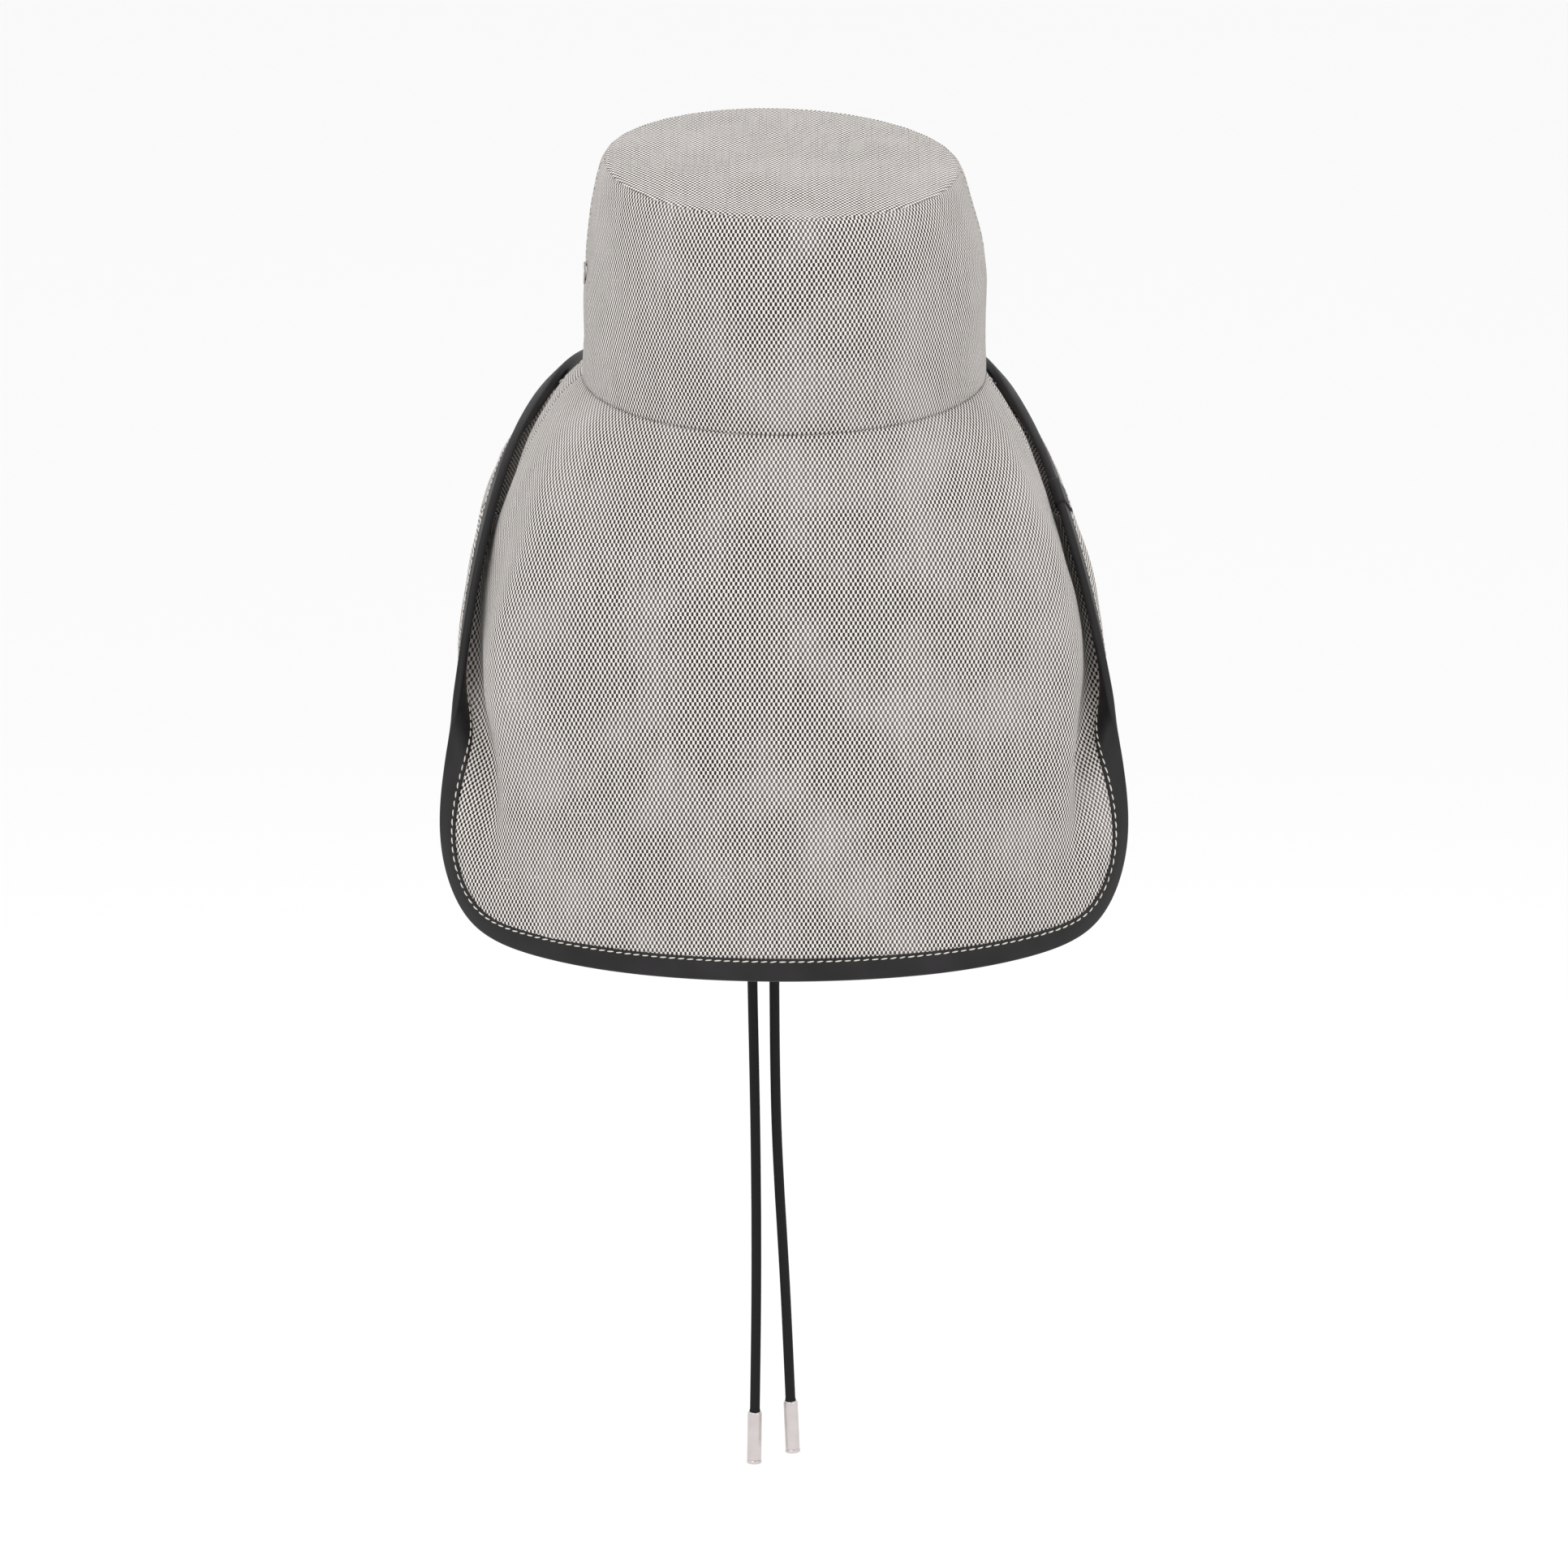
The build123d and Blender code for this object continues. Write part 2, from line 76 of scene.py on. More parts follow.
JOIN_FACE = 2.55            # outside of the short cover over the strip's join
JOIN = 0.50

# turn in degrees; x, y, z of the bound edge; share of the roll; bulge
STATIONS = [
    (90, 0, 162, -28, 0.0, 0),
    (69, 47, 150, -23, 0.0, 0),
    (50, 88, 117, -15, 0.0, 0),
    (30, 105, 68, -26, 0.45, 0),
    (12, 115.5, 22, -35, 0.8, 1),
    (-3, 124, -18, -52, 1.0, 3),
    (-13, 133.5, -41, -84, 1.0, 6),
    (-21, 141, -55, -121, 0.8, 11),
    (-29, 147, -66, -157, 0.4, 15),
    (-38, 150.5, -74, -192, 0.1, 17),
    (-48, 139, -87, -224, 0.0, 16),
    (-60, 115, -113, -230, 0.0, 12),
    (-74, 68, -142, -232, 0.0, 8),
    (-90, 0, -155, -232, 0.0, 6),
]
# how much farther out the left edge hangs than the right, halved, by station
LEAN = {2: 2.0, 3: 3.8, 4: 3.6, 5: 3.2, 6: 2.0, 7: 0.3}
# control points beside a flat edge: how far in, mm, and at most what share of the width
FLAT_INSETS = [(7.0, 0.14), (18.0, 0.33), (34.0, 0.56)]
# control points beside a rolled edge: sideways, and towards the back
ROLL = [(1.2, -9), (6, -21), (-6, -17), (-4.5, 0)]
BACK_AND_UP = np.array((0.0, -0.966, 0.259))
# how far the cloth just inside the edge stands back from it, mm, by station
TUCK = {7: 3.0, 8: 7.0, 9: 9.0, 10: 6.0, 11: 2.0}
TUCK_SHARES = (0.85, 1.0, 0.9, 0.5)

CORD_ROUTES = {
    "left": [
        (-81.8, 0.0, -5.0), (-81.8, 0.0, -31.0), (-68.0, 1.6, -62.0), (-14.8, 0.0, -96.0),
        (-14.8, 0.0, -232.0), (-12.4, 0.0, -344.0), (-12.0, 0.0, -413.0), (-12.9, 0.0, -476.0),
    ],
    "right": [
        (81.8, 0.0, -5.0), (81.8, 0.0, -31.0), (52.0, 1.6, -64.0), (-4.6, 0.0, -96.0),
        (-4.6, 0.0, -232.0), (-3.7, 0.0, -342.0), (0.4, 0.0, -408.0), (3.1, 0.0, -471.0),
    ],
}
CORD_RADII = {
    "left": (55, 51, 52, 4706, 3974, 2824), "right": (30, 121, 50, 12101, 1105, 2954),
}
CORD_RADIUS = 2.2
AGLET_GRIP = 5.7            # how much of the cord's end is inside its metal tube


# ---------------------------------------------------------------- the brim and flap surface
def turn_at(k):
    if k < 0:
        return 180 - STATIONS[-k][0]
    if k >= len(STATIONS):
        return -180 - STATIONS[2 * len(STATIONS) - 2 - k][0]
    return STATIONS[k][0]


def unit(v):
    return v / np.maximum(np.linalg.norm(v, axis=-1, keepdims=True), 1e-12)


def edge_at(k):
    count = len(STATIONS) - 1
    k = k % (2 * count)
    x, y, z = STATIONS[min(k, 2 * count - k)][1:4]
    return np.array((x if k <= count else -x, y, z), float)


def swung(pivot, start, stop, share):
    """A share of the way from start to stop, turning about pivot and not cutting across it."""
    one, other = start - pivot, stop - pivot
    way = one + (other - one) * share
    reach = np.linalg.norm(one) * (1 - share) + np.linalg.norm(other) * share
    return pivot + unit(way) * reach


def control_line(k):
    """Eight control points from the brim seam to the bound edge at station k."""
    turn, x, y, z, roll, bulge = STATIONS[k]
    out = np.array((cos(radians(turn)), sin(radians(turn)), 0.0))
    up = np.array((0.0, 0.0, 1.0))
    near = [cos(radians(turn - turn_at(k + i))) for i in (1, -1)]
    seam = np.array((SEAM_HALF_WIDTH, SEAM_HALF_DEPTH, 0)) * out
    edge = np.array((x, y, z), float)
    along = unit(edge_at(k + 1) - edge_at(k - 1))
    inward = seam - edge
    inward = inward - inward.dot(along) * along
    width = np.linalg.norm(inward)
    inward = inward / width
    flat = [edge + inward * min(d, most * width) for d, most in FLAT_INSETS]
    flat.append(seam + (edge - seam) * 0.58 + out * bulge)
    tuck = BACK_AND_UP * TUCK.get(k, 0)
    flat = [p + tuck * share for p, share in zip(flat, TUCK_SHARES)]
    back = unit(BACK_AND_UP - BACK_AND_UP.dot(along) * along)
    aside = np.cross(along, back)
    aside = aside * np.sign(aside.dot(out) or 1.0)
    rolled = [edge + aside * a + back * b for a, b in ROLL]
    belly, floor, wall, ridge = [swung(edge, f, r, roll) for f, r in zip(flat, rolled)]
    shoulder = seam + (edge - seam) * 0.10 + out * 0.5 * bulge + up * 0.15 * bulge
    side = seam + (edge - seam) * 0.32 + out * bulge + up * 0.3 * bulge
    # the spline runs inside its control points, so the seam's own stand out by that share
    return np.array([seam * 6 / (4 + sum(near)), shoulder, side, ridge, wall, floor, belly, edge])


def control_net():
    """All the stations' control lines, right side, then left, swung a little to the left."""
    half = [control_line(k) for k in range(len(STATIONS))]
    lines = half + [line * (-1, 1, 1) for line in half[-2:0:-1]]
    for k, line in enumerate(lines):
        lean = LEAN.get(min(k, FULL_TURN - k), 0)
        share = np.array([0, 0.5, 0.85, 1, 1, 1, 1, 1])[:, None]
        line -= share * (lean, 0, 0)
    return np.array(lines)


NET = control_net()


def weights(t):
    """The four cubic spline weights at share t of a span."""
    return np.stack([
        (1 - t) ** 3 / 6, (3 * t**3 - 6 * t * t + 4) / 6,
        (-3 * t**3 + 3 * t * t + 3 * t + 1) / 6, t**3 / 6,
    ])


def sheet(turn, drop):
    """Points of the middle sheet, mm, for arrays of turn and of drop."""
    turn, drop = np.broadcast_arrays(np.asarray(turn, float), np.asarray(drop, float))
    first = np.floor(turn).astype(int)
    at = drop * 7
    i = np.clip(np.floor(at).astype(int), 0, 6)
    padded = np.concatenate([2 * NET[:, :1] - NET[:, 1:2], NET, 2 * NET[:, -1:] - NET[:, -2:-1]], 1)
    wt, wd = weights(turn - first), weights(at - i)
    point = np.zeros(turn.shape + (3,))
    for a in range(4):
        for b in range(4):
            point += (wt[a] * wd[b])[..., None] * padded[(first + a - 1) % FULL_TURN, i + b]
    return point


def sheet_normal(turn, drop):
    small = 0.008
    down = sheet(turn, np.minimum(drop + small, 1)) - sheet(turn, np.maximum(drop - small, 0))
    around = sheet(turn + small, drop) - sheet(turn - small, drop)
    return unit(np.cross(around, down))


def raised(turn, drop, height):
    turn, drop = np.broadcast_arrays(np.asarray(turn, float), np.asarray(drop, float))
    return sheet(turn, drop) + sheet_normal(turn, drop) * np.asarray(height)[..., None]


def inset_drops(turns, insets):
    """The drops where the sheet lies each inset, mm, inside the bound edge: (turns, insets)."""
    fine = np.linspace(1, 0.55, 181)
    line = sheet(turns[:, None], fine[None])
    gone = np.linalg.norm(np.diff(line, axis=1), axis=2)
    gone = np.concatenate([np.zeros((len(turns), 1)), np.cumsum(gone, 1)], 1)
    return np.array([np.interp(insets, row, fine) for row in gone])


def even_turns(first, last, spacing, drop=1.0):
    """Turns from first to last, about spacing mm apart along the sheet at this drop."""
    fine = np.linspace(first, last, 4000)
    line = sheet(fine, drop)
    gone = np.concatenate([[0], np.cumsum(np.linalg.norm(np.diff(line, axis=0), axis=1))])
    count = max(2, int(ceil(gone[-1] / spacing)))
    return np.interp(np.linspace(0, gone[-1], count + 1), gone, fine)


def waves(points, size, seed):
    """A soft random field, about -1 to 1, that varies over size mm."""
    draw = np.random.default_rng(seed)
    total = np.zeros(points.shape[:-1])
    for _ in range(9):
        direction = unit(draw.normal(size=3))
        phase = draw.uniform(0, 2 * pi)
        total += np.sin(points @ direction * (2 * pi / (size * draw.uniform(0.7, 1.6))) + phase)
    return total / 4.0


# ---------------------------------------------------------------- mesh helpers
def deselect():
    if bpy.context.object and bpy.context.object.mode != "OBJECT":
        bpy.ops.object.mode_set(mode="OBJECT")
    bpy.ops.object.select_all(action="DESELECT")


def pick(piece):
    deselect()
    piece.select_set(True)
    bpy.context.view_layer.objects.active = piece


def new_mesh(name, points, faces, uv=None):
    """A mesh object from points in mm; uv is one pair in metres for each point."""
    mesh = bpy.data.meshes.new(name)
    mesh.from_pydata((np.asarray(points) * MM).tolist(), [], [list(map(int, f)) for f in faces])
    if uv is not None:
        layer = mesh.uv_layers.new(name="weave")
        corner = np.empty(len(mesh.loops), int)
        mesh.loops.foreach_get("vertex_index", corner)
        layer.data.foreach_set("uv", np.asarray(uv, np.float32)[corner].ravel())
    mesh.update()
    piece = bpy.data.objects.new(name, mesh)
    bpy.context.scene.collection.objects.link(piece)
    mesh.shade_smooth()
    return piece


def grid_faces(rows, columns, closed=False):
    """Quads over a rows by columns grid; closed joins the last row to the first."""
    i = np.arange(rows if closed else rows - 1)[:, None]
    j = np.arange(columns - 1)[None]
    a, b = i * columns + j, (i + 1) % rows * columns + j
    return np.stack([a, b, b + 1, a + 1], -1).reshape(-1, 4)


def tube_faces(rows, ring, closed):
    """Quads over rows rings of ring points each, and flat end caps if the tube is open."""
    i = np.arange(rows if closed else rows - 1)[:, None]
    j = np.arange(ring)[None]
    a, b, n = i * ring, (i + 1) % rows * ring, (j + 1) % ring
    faces = np.stack([a + j, b + j, b + n, a + n], -1).reshape(-1, 4).tolist()
    if not closed:
        faces += [list(range(ring)), list(range(rows * ring - 1, (rows - 1) * ring - 1, -1))]
    return faces


def outward(piece):
    pick(piece)
    bpy.ops.object.mode_set(mode="EDIT")
    bpy.ops.mesh.select_all(action="SELECT")
    bpy.ops.mesh.normals_make_consistent(inside=False)
    bpy.ops.object.mode_set(mode="OBJECT")


def apply_modifier(piece, kind, **settings):
    pick(piece)
    modifier = piece.modifiers.new(kind.title(), kind)
    for key, value in settings.items():
        setattr(modifier, key, value)
    bpy.ops.object.modifier_apply(modifier=modifier.name)


def thicken(piece, thickness):
    """Turns a one-sided cloth into a closed one, growing away from its face."""
    apply_modifier(
        piece, "SOLIDIFY", thickness=thickness * MM, offset=-1.0,
        use_even_offset=False, use_rim=True,
    )


def flatten_uv(piece, columns, across, down):
    """Unwraps the cloth flat at its real size, turned so that its middle thread runs along V.

    across and down are index pairs (row, column) of that thread's two ends in the grid.
    """
    pick(piece)
    bpy.ops.object.mode_set(mode="EDIT")
    bpy.ops.mesh.select_all(action="SELECT")
    bpy.ops.uv.unwrap(method="CONFORMAL", margin=0.0)
    bpy.ops.object.mode_set(mode="OBJECT")
    mesh = piece.data
    layer = mesh.uv_layers["weave"]
    uv = np.empty(len(mesh.loops) * 2, np.float32)
    layer.data.foreach_get("uv", uv)
    uv = uv.reshape(-1, 2).astype(float)
    corner = np.empty(len(mesh.loops), int)
    mesh.loops.foreach_get("vertex_index", corner)
    point = np.empty(len(mesh.vertices) * 3, np.float32)
    mesh.vertices.foreach_get("co", point)
    point = point.reshape(-1, 3)
    place = np.zeros((len(mesh.vertices), 2))
    place[corner] = uv
    top, low = across[0] * columns + across[1], down[0] * columns + down[1]
    thread = place[low] - place[top]
    line = place[np.arange(across[1], down[1] + 1) + across[0] * columns]
    solid = point[np.arange(across[1], down[1] + 1) + across[0] * columns]
    scale = (
        np.linalg.norm(np.diff(solid, axis=0), axis=1).sum()
        / np.linalg.norm(np.diff(line, axis=0), axis=1).sum()
    )
    angle = np.arctan2(thread[1], thread[0]) + pi / 2
    turn = np.array([[cos(angle), -sin(angle)], [sin(angle), cos(angle)]])
    place = (place - place[top]) @ turn * scale
    layer.data.foreach_set("uv", place[corner].astype(np.float32).ravel())


# ---------------------------------------------------------------- shader helpers
def new_group(name, inputs, outputs):
    group = bpy.data.node_groups.new(name, "ShaderNodeTree")
    for label, kind, default in inputs:
        socket = group.interface.new_socket(label, in_out="INPUT", socket_type=kind)
        if default is not None:
            socket.default_value = default
    for label, kind in outputs:
        group.interface.new_socket(label, in_out="OUTPUT", socket_type=kind)
    return group


class Graph:
    """Builds a node tree by calls that take numbers, colours or sockets."""

    def __init__(self, tree):
        self.tree = tree

    def node(self, kind, inputs=(), **settings):
        made = self.tree.nodes.new(kind)
        for key, value in settings.items():
            setattr(made, key, value)
        pairs = inputs.items() if isinstance(inputs, dict) else enumerate(inputs)
        for key, value in pairs:
            if value is None:
                continue
            socket = made.inputs[key]
            if isinstance(value, bpy.types.NodeSocket):
                self.tree.links.new(value, socket)
            else:
                socket.default_value = value
        return made

    def math(self, operation, *values):
        return self.node("ShaderNodeMath", values, operation=operation).outputs[0]

    def ramp(self, value, low, high, to_low=0.0, to_high=1.0):
        made = self.node(
            "ShaderNodeMapRange", (value, low, high, to_low, to_high),
            interpolation_type="SMOOTHSTEP",
        )
        return made.outputs[0]

    def mix(self, share, one, other):
        made = self.node("ShaderNodeMix", data_type="RGBA")
        for place, value in ((0, share), (6, one), (7, other)):
            socket = made.inputs[place]
            if isinstance(value, bpy.types.NodeSocket):
                self.tree.links.new(value, socket)
            else:
                socket.default_value = value
        return made.outputs[2]

    def noise(self, vector, scale, detail=2.0, roughness=0.5):
        made = self.node(
            "ShaderNodeTexNoise",
            {"Vector": vector, "Scale": scale, "Detail": detail, "Roughness": roughness},
        )
        return made.outputs[0]

    def scaled(self, vector, factors):
        made = self.node("ShaderNodeVectorMath", (vector, factors), operation="MULTIPLY")
        return made.outputs[0]

    def split(self, vector):
        return self.node("ShaderNodeSeparateXYZ", (vector,)).outputs

    def join(self, x, y, z=0.0):
        return self.node("ShaderNodeCombineXYZ", (x, y, z)).outputs[0]


def weave_group():
    """Cream warp over black weft: staggered dark dots between cream ovals.

    Vector is the cloth's flat place in metres, warp along Y.
    """
    group = new_group(
        "plain weave",
        [
            ("Vector", "NodeSocketVector", None),
            ("Dot Pitch", "NodeSocketFloat", 0.00204),
            ("Row Pitch", "NodeSocketFloat", 0.00164),
            ("Cream", "NodeSocketColor", (0.92, 0.87, 0.825, 1)),
            ("Between", "NodeSocketColor", (0.27, 0.25, 0.235, 1)),
            ("Dark", "NodeSocketColor", (0.018, 0.016, 0.015, 1)),
        ],
        [("Color", "NodeSocketColor"), ("Height", "NodeSocketFloat")],
    )
    g = Graph(group)
    given = g.node("NodeGroupInput").outputs
    slow = g.node(
        "ShaderNodeTexNoise", {"Vector": given["Vector"], "Scale": 260.0, "Detail": 2.0})
    shifted = g.node(
        "ShaderNodeVectorMath", (slow.outputs[1], (0.5, 0.5, 0.5)), operation="SUBTRACT")
    wobble = g.scaled(shifted.outputs[0], (0.0004, 0.00028, 0.0))
    place = g.node("ShaderNodeVectorMath", (given["Vector"], wobble), operation="ADD").outputs[0]
    x, y, _ = g.split(place)
    u = g.math("DIVIDE", x, given["Dot Pitch"])
    v = g.math("DIVIDE", y, given["Row Pitch"])
    row = g.math("FLOOR", v)
    odd = g.math("MULTIPLY", g.math("FLOORED_MODULO", row, 2.0), 0.5)
    celly = g.math("SUBTRACT", g.math("SUBTRACT", v, row), 0.5)
    # each pick and each end has its own thickness
    pick_noise = g.noise(
        g.join(g.math("MULTIPLY", u, 0.05), g.math("MULTIPLY", row, 0.73)), 1.0, 1.0)
    end_number = g.math("FLOOR", g.math("MULTIPLY", u, 2.0))
    end_noise = g.noise(
        g.join(g.math("MULTIPLY", end_number, 0.61), g.math("MULTIPLY", v, 0.04), 7.0), 1.0, 1.0)
    grow = g.ramp(pick_noise, 0.3, 0.7, 0.92, 1.10)
    thin = g.ramp(end_noise, 0.3, 0.7, 1.10, 0.92)

    def oval(offset, half_width, half_height, soft, stretch_x, stretch_y):
        across = g.math("ADD", g.math("ADD", u, odd), offset)
        cellx = g.math("SUBTRACT", g.math("FRACT", across), 0.5)
        ax = g.math("DIVIDE", g.math("DIVIDE", cellx, half_width), stretch_x)
        ay = g.math("DIVIDE", g.math("DIVIDE", celly, half_height), stretch_y)
        far = g.math("ADD", g.math("MULTIPLY", ax, ax), g.math("MULTIPLY", ay, ay))
        return g.ramp(g.math("SQRT", far), 1.0 + soft, 1.0 - soft), far

    dot, _ = oval(0.0, 0.250, 0.49, 0.12, thin, grow)
    float_mask, float_far = oval(0.5, 0.29, 0.56, 0.28, grow, 1.0)
    dome = g.math("SUBTRACT", 1.0, g.math("MINIMUM", float_far, 1.6))
    dip = g.math("MULTIPLY", dot, -0.55)
    height = g.math("ADD", g.math("MULTIPLY", dome, 0.45), dip)
    fine = g.noise(g.scaled(given["Vector"], (6500.0, 1500.0, 1.0)), 1.0, 2.0)
    height = g.math("ADD", height, g.math("MULTIPLY", fine, 0.25))
    cream = g.mix(g.ramp(fine, 0.25, 0.75, 0.0, 0.35), given["Cream"], given["Between"])
    colour = g.mix(float_mask, given["Between"], cream)
    colour = g.mix(dot, colour, given["Dark"])
    g.node("NodeGroupOutput", {"Color": colour, "Height": height})
    return group


def grain_group():
    """Fine leather grain: small rounded cells with creases between them."""
    group = new_group(
        "leather grain",
        [("Vector", "NodeSocketVector", None), ("Scale", "NodeSocketFloat", 1600.0)],
        [("Height", "NodeSocketFloat"), ("Wear", "NodeSocketFloat")],
    )
    g = Graph(group)
    given = g.node("NodeGroupInput").outputs
    cells = g.node(
        "ShaderNodeTexVoronoi", {"Vector": given["Vector"], "Scale": given["Scale"]},
        feature="SMOOTH_F1",
    )
    soft = g.noise(given["Vector"], 320.0, 3.0)
    height = g.math(
        "ADD", g.math("MULTIPLY", cells.outputs[0], -0.6), g.math("MULTIPLY", soft, 0.8))
    g.node("NodeGroupOutput", {"Height": height, "Wear": g.noise(given["Vector"], 45.0, 3.0)})
    return group


def brushed_group():
    """Fine lines drawn along one axis of the piece."""
    group = new_group(
        "brushed lines",
        [
            ("Vector", "NodeSocketVector", None),
            ("Stretch", "NodeSocketVector", (900.0, 900.0, 60.0)),
        ],
        [("Lines", "NodeSocketFloat"), ("Smudge", "NodeSocketFloat")],
    )
    g = Graph(group)
    given = g.node("NodeGroupInput").outputs
    stretched = g.node(
        "ShaderNodeVectorMath", (given["Vector"], given["Stretch"]), operation="MULTIPLY")
    lines = g.noise(stretched.outputs[0], 6.0, 3.0)
    g.node("NodeGroupOutput", {"Lines": lines, "Smudge": g.noise(given["Vector"], 130.0, 2.0)})
    return group


GROUPS = {}


def shared(name):
    makers = {"weave": weave_group, "grain": grain_group, "brushed": brushed_group}
    if name not in GROUPS:
        GROUPS[name] = makers[name]()
    return GROUPS[name]


def material(name, build):
    """A material whose Principled shader's inputs are what build(graph) returns."""
    made = bpy.data.materials.new(name)
    made.use_nodes = True
    g = Graph(made.node_tree)
    shader = made.node_tree.nodes["Principled BSDF"]
    for key, value in build(g).items():
        socket = shader.inputs[key]
        if isinstance(value, bpy.types.NodeSocket):
            made.node_tree.links.new(value, socket)
        else:
            socket.default_value = value
    return made


def bump(g, height, distance, strength=1.0):
    made = g.node("ShaderNodeBump", {"Strength": strength, "Distance": distance, "Height": height})
    return made.outputs[0]


def object_place(g):
    return g.node("ShaderNodeTexCoord").outputs["Object"]


def cloth_place(g):
    return g.node("ShaderNodeUVMap", uv_map="weave").outputs[0]


def canvas_material(g):
    place = cloth_place(g)
    weave = g.node("ShaderNodeGroup", {"Vector": place}, node_tree=shared("weave"))
    patch = g.noise(place, 22.0, 3.0)
    aged = g.ramp(patch, 0.42, 0.72, 0.0, 0.22)
    tint = g.mix(aged, weave.outputs["Color"], (0.62, 0.56, 0.56, 1))
    slub = g.noise(g.scaled(place, (28.0, 620.0, 1.0)), 1.0, 1.0)
    slub = g.ramp(slub, 0.74, 0.80, 0.0, 0.5)
    colour = g.mix(slub, tint, (0.66, 0.63, 0.60, 1))
    return {
        "Base Color": colour, "Roughness": 0.86, "Specular IOR Level": 0.25,
        "Sheen Weight": 0.12, "Sheen Roughness": 0.5,
        "Normal": bump(g, weave.outputs["Height"], 0.00030),
    }


def lining_material(g):
    place = cloth_place(g)
    x, y, _ = g.split(place)
    twill = g.math("SINE", g.math("MULTIPLY", g.math("ADD", x, y), 2 * pi / 0.0007))
    fleck = g.noise(place, 900.0, 2.0)
    colour = g.mix(g.ramp(fleck, 0.3, 0.7), (0.60, 0.56, 0.49, 1), (0.70, 0.66, 0.60, 1))
    height = g.math("ADD", g.math("MULTIPLY", twill, 0.3), fleck)
    return {
        "Base Color": colour, "Roughness": 0.9, "Specular IOR Level": 0.2,
        "Normal": bump(g, height, 0.00012),
    }


def cloth_solid(colour_low, colour_high, pitch, axis):
    """A ribbed or felted cloth for a small piece, with its ribs stacked along axis."""
    def build(g):
        place = object_place(g)
        along = g.split(place)[axis]
        ribs = g.math("SINE", g.math("MULTIPLY", along, 2 * pi / pitch))
        fleck = g.noise(place, 1500.0, 2.0)
        return {
            "Base Color": g.mix(fleck, colour_low, colour_high), "Roughness": 0.88,
            "Specular IOR Level": 0.2,
            "Normal": bump(g, g.math("ADD", g.math("MULTIPLY", ribs, 0.5), fleck), 0.00015),
        }
    return build


def leather_material(g):
    place = object_place(g)
    grain = g.node("ShaderNodeGroup", {"Vector": place}, node_tree=shared("grain"))
    wear = grain.outputs["Wear"]
    dark, rubbed = (0.009, 0.0085, 0.009, 1), (0.019, 0.017, 0.019, 1)
    return {
        "Base Color": g.mix(g.ramp(wear, 0.3, 0.75), dark, rubbed),
        "Roughness": g.ramp(wear, 0.3, 0.7, 0.46, 0.60), "Specular IOR Level": 0.28,
        "Normal": bump(g, grain.outputs["Height"], 0.00010, 0.55),
    }


def cord_material(g):
    place = object_place(g)
    grain = g.node("ShaderNodeGroup", {"Vector": place, "Scale": 2400.0}, node_tree=shared("grain"))
    return {
        "Base Color": (0.013, 0.0127, 0.013, 1), "Roughness": 0.75, "Specular IOR Level": 0.15,
        "Normal": bump(g, grain.outputs["Height"], 0.00008, 0.5),
    }


def thread_material(g):
    place = object_place(g)
    twist = g.noise(place, 2600.0, 2.0)
    return {
        "Base Color": g.mix(twist, (0.62, 0.57, 0.50, 1), (0.80, 0.76, 0.70, 1)),
        "Roughness": 0.7, "Specular IOR Level": 0.3,
    }


def metal(low, high, stretch):
    def build(g):
        place = object_place(g)
        lines = g.node(
            "ShaderNodeGroup", {"Vector": place, "Stretch": stretch}, node_tree=shared("brushed"))
        return {
            "Base Color": g.mix(lines.outputs["Smudge"], low, high), "Metallic": 1.0,
            "Roughness": g.ramp(lines.outputs["Lines"], 0.25, 0.75, 0.24, 0.40),
            "Normal": bump(g, lines.outputs["Lines"], 0.00002, 0.35),
        }
    return build


def floor_material(g):
    patch = g.noise(object_place(g), 0.5)
    return {
        "Base Color": g.mix(patch, (0.90, 0.90, 0.90, 1), (0.92, 0.92, 0.92, 1)),
        "Roughness": 0.9, "Specular IOR Level": 0.1,
    }


MATERIALS = {
    "canvas": canvas_material,
    "lining": lining_material,
    "interlining": cloth_solid((0.72, 0.71, 0.68, 1), (0.84, 0.83, 0.80, 1), 0.002, 2),
    "sweatband": cloth_solid((0.018, 0.018, 0.02, 1), (0.04, 0.04, 0.045, 1), 0.0011, 2),
    "tape": cloth_solid((0.02, 0.02, 0.022, 1), (0.05, 0.05, 0.055, 1), 0.0008, 2),
    "label": cloth_solid((0.72, 0.70, 0.65, 1), (0.82, 0.80, 0.75, 1), 0.0007, 0),
    "binding": leather_material,
    "loop": leather_material,
    "slider": leather_material,
    "cord": cord_material,
    "thread": thread_material,
    "silver": metal((0.56, 0.51, 0.50, 1), (0.70, 0.65, 0.64, 1), (900.0, 900.0, 40.0)),
}
MADE = {}


def look(name):
    if name not in MADE:
        MADE[name] = material(name, MATERIALS[name])
    return MADE[name]


def dress(piece, look_name):
    """Gives a finished piece its material and its body."""
    piece.data.materials.clear()
    piece.data.materials.append(look(look_name))
    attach(piece, "hat")
    return piece


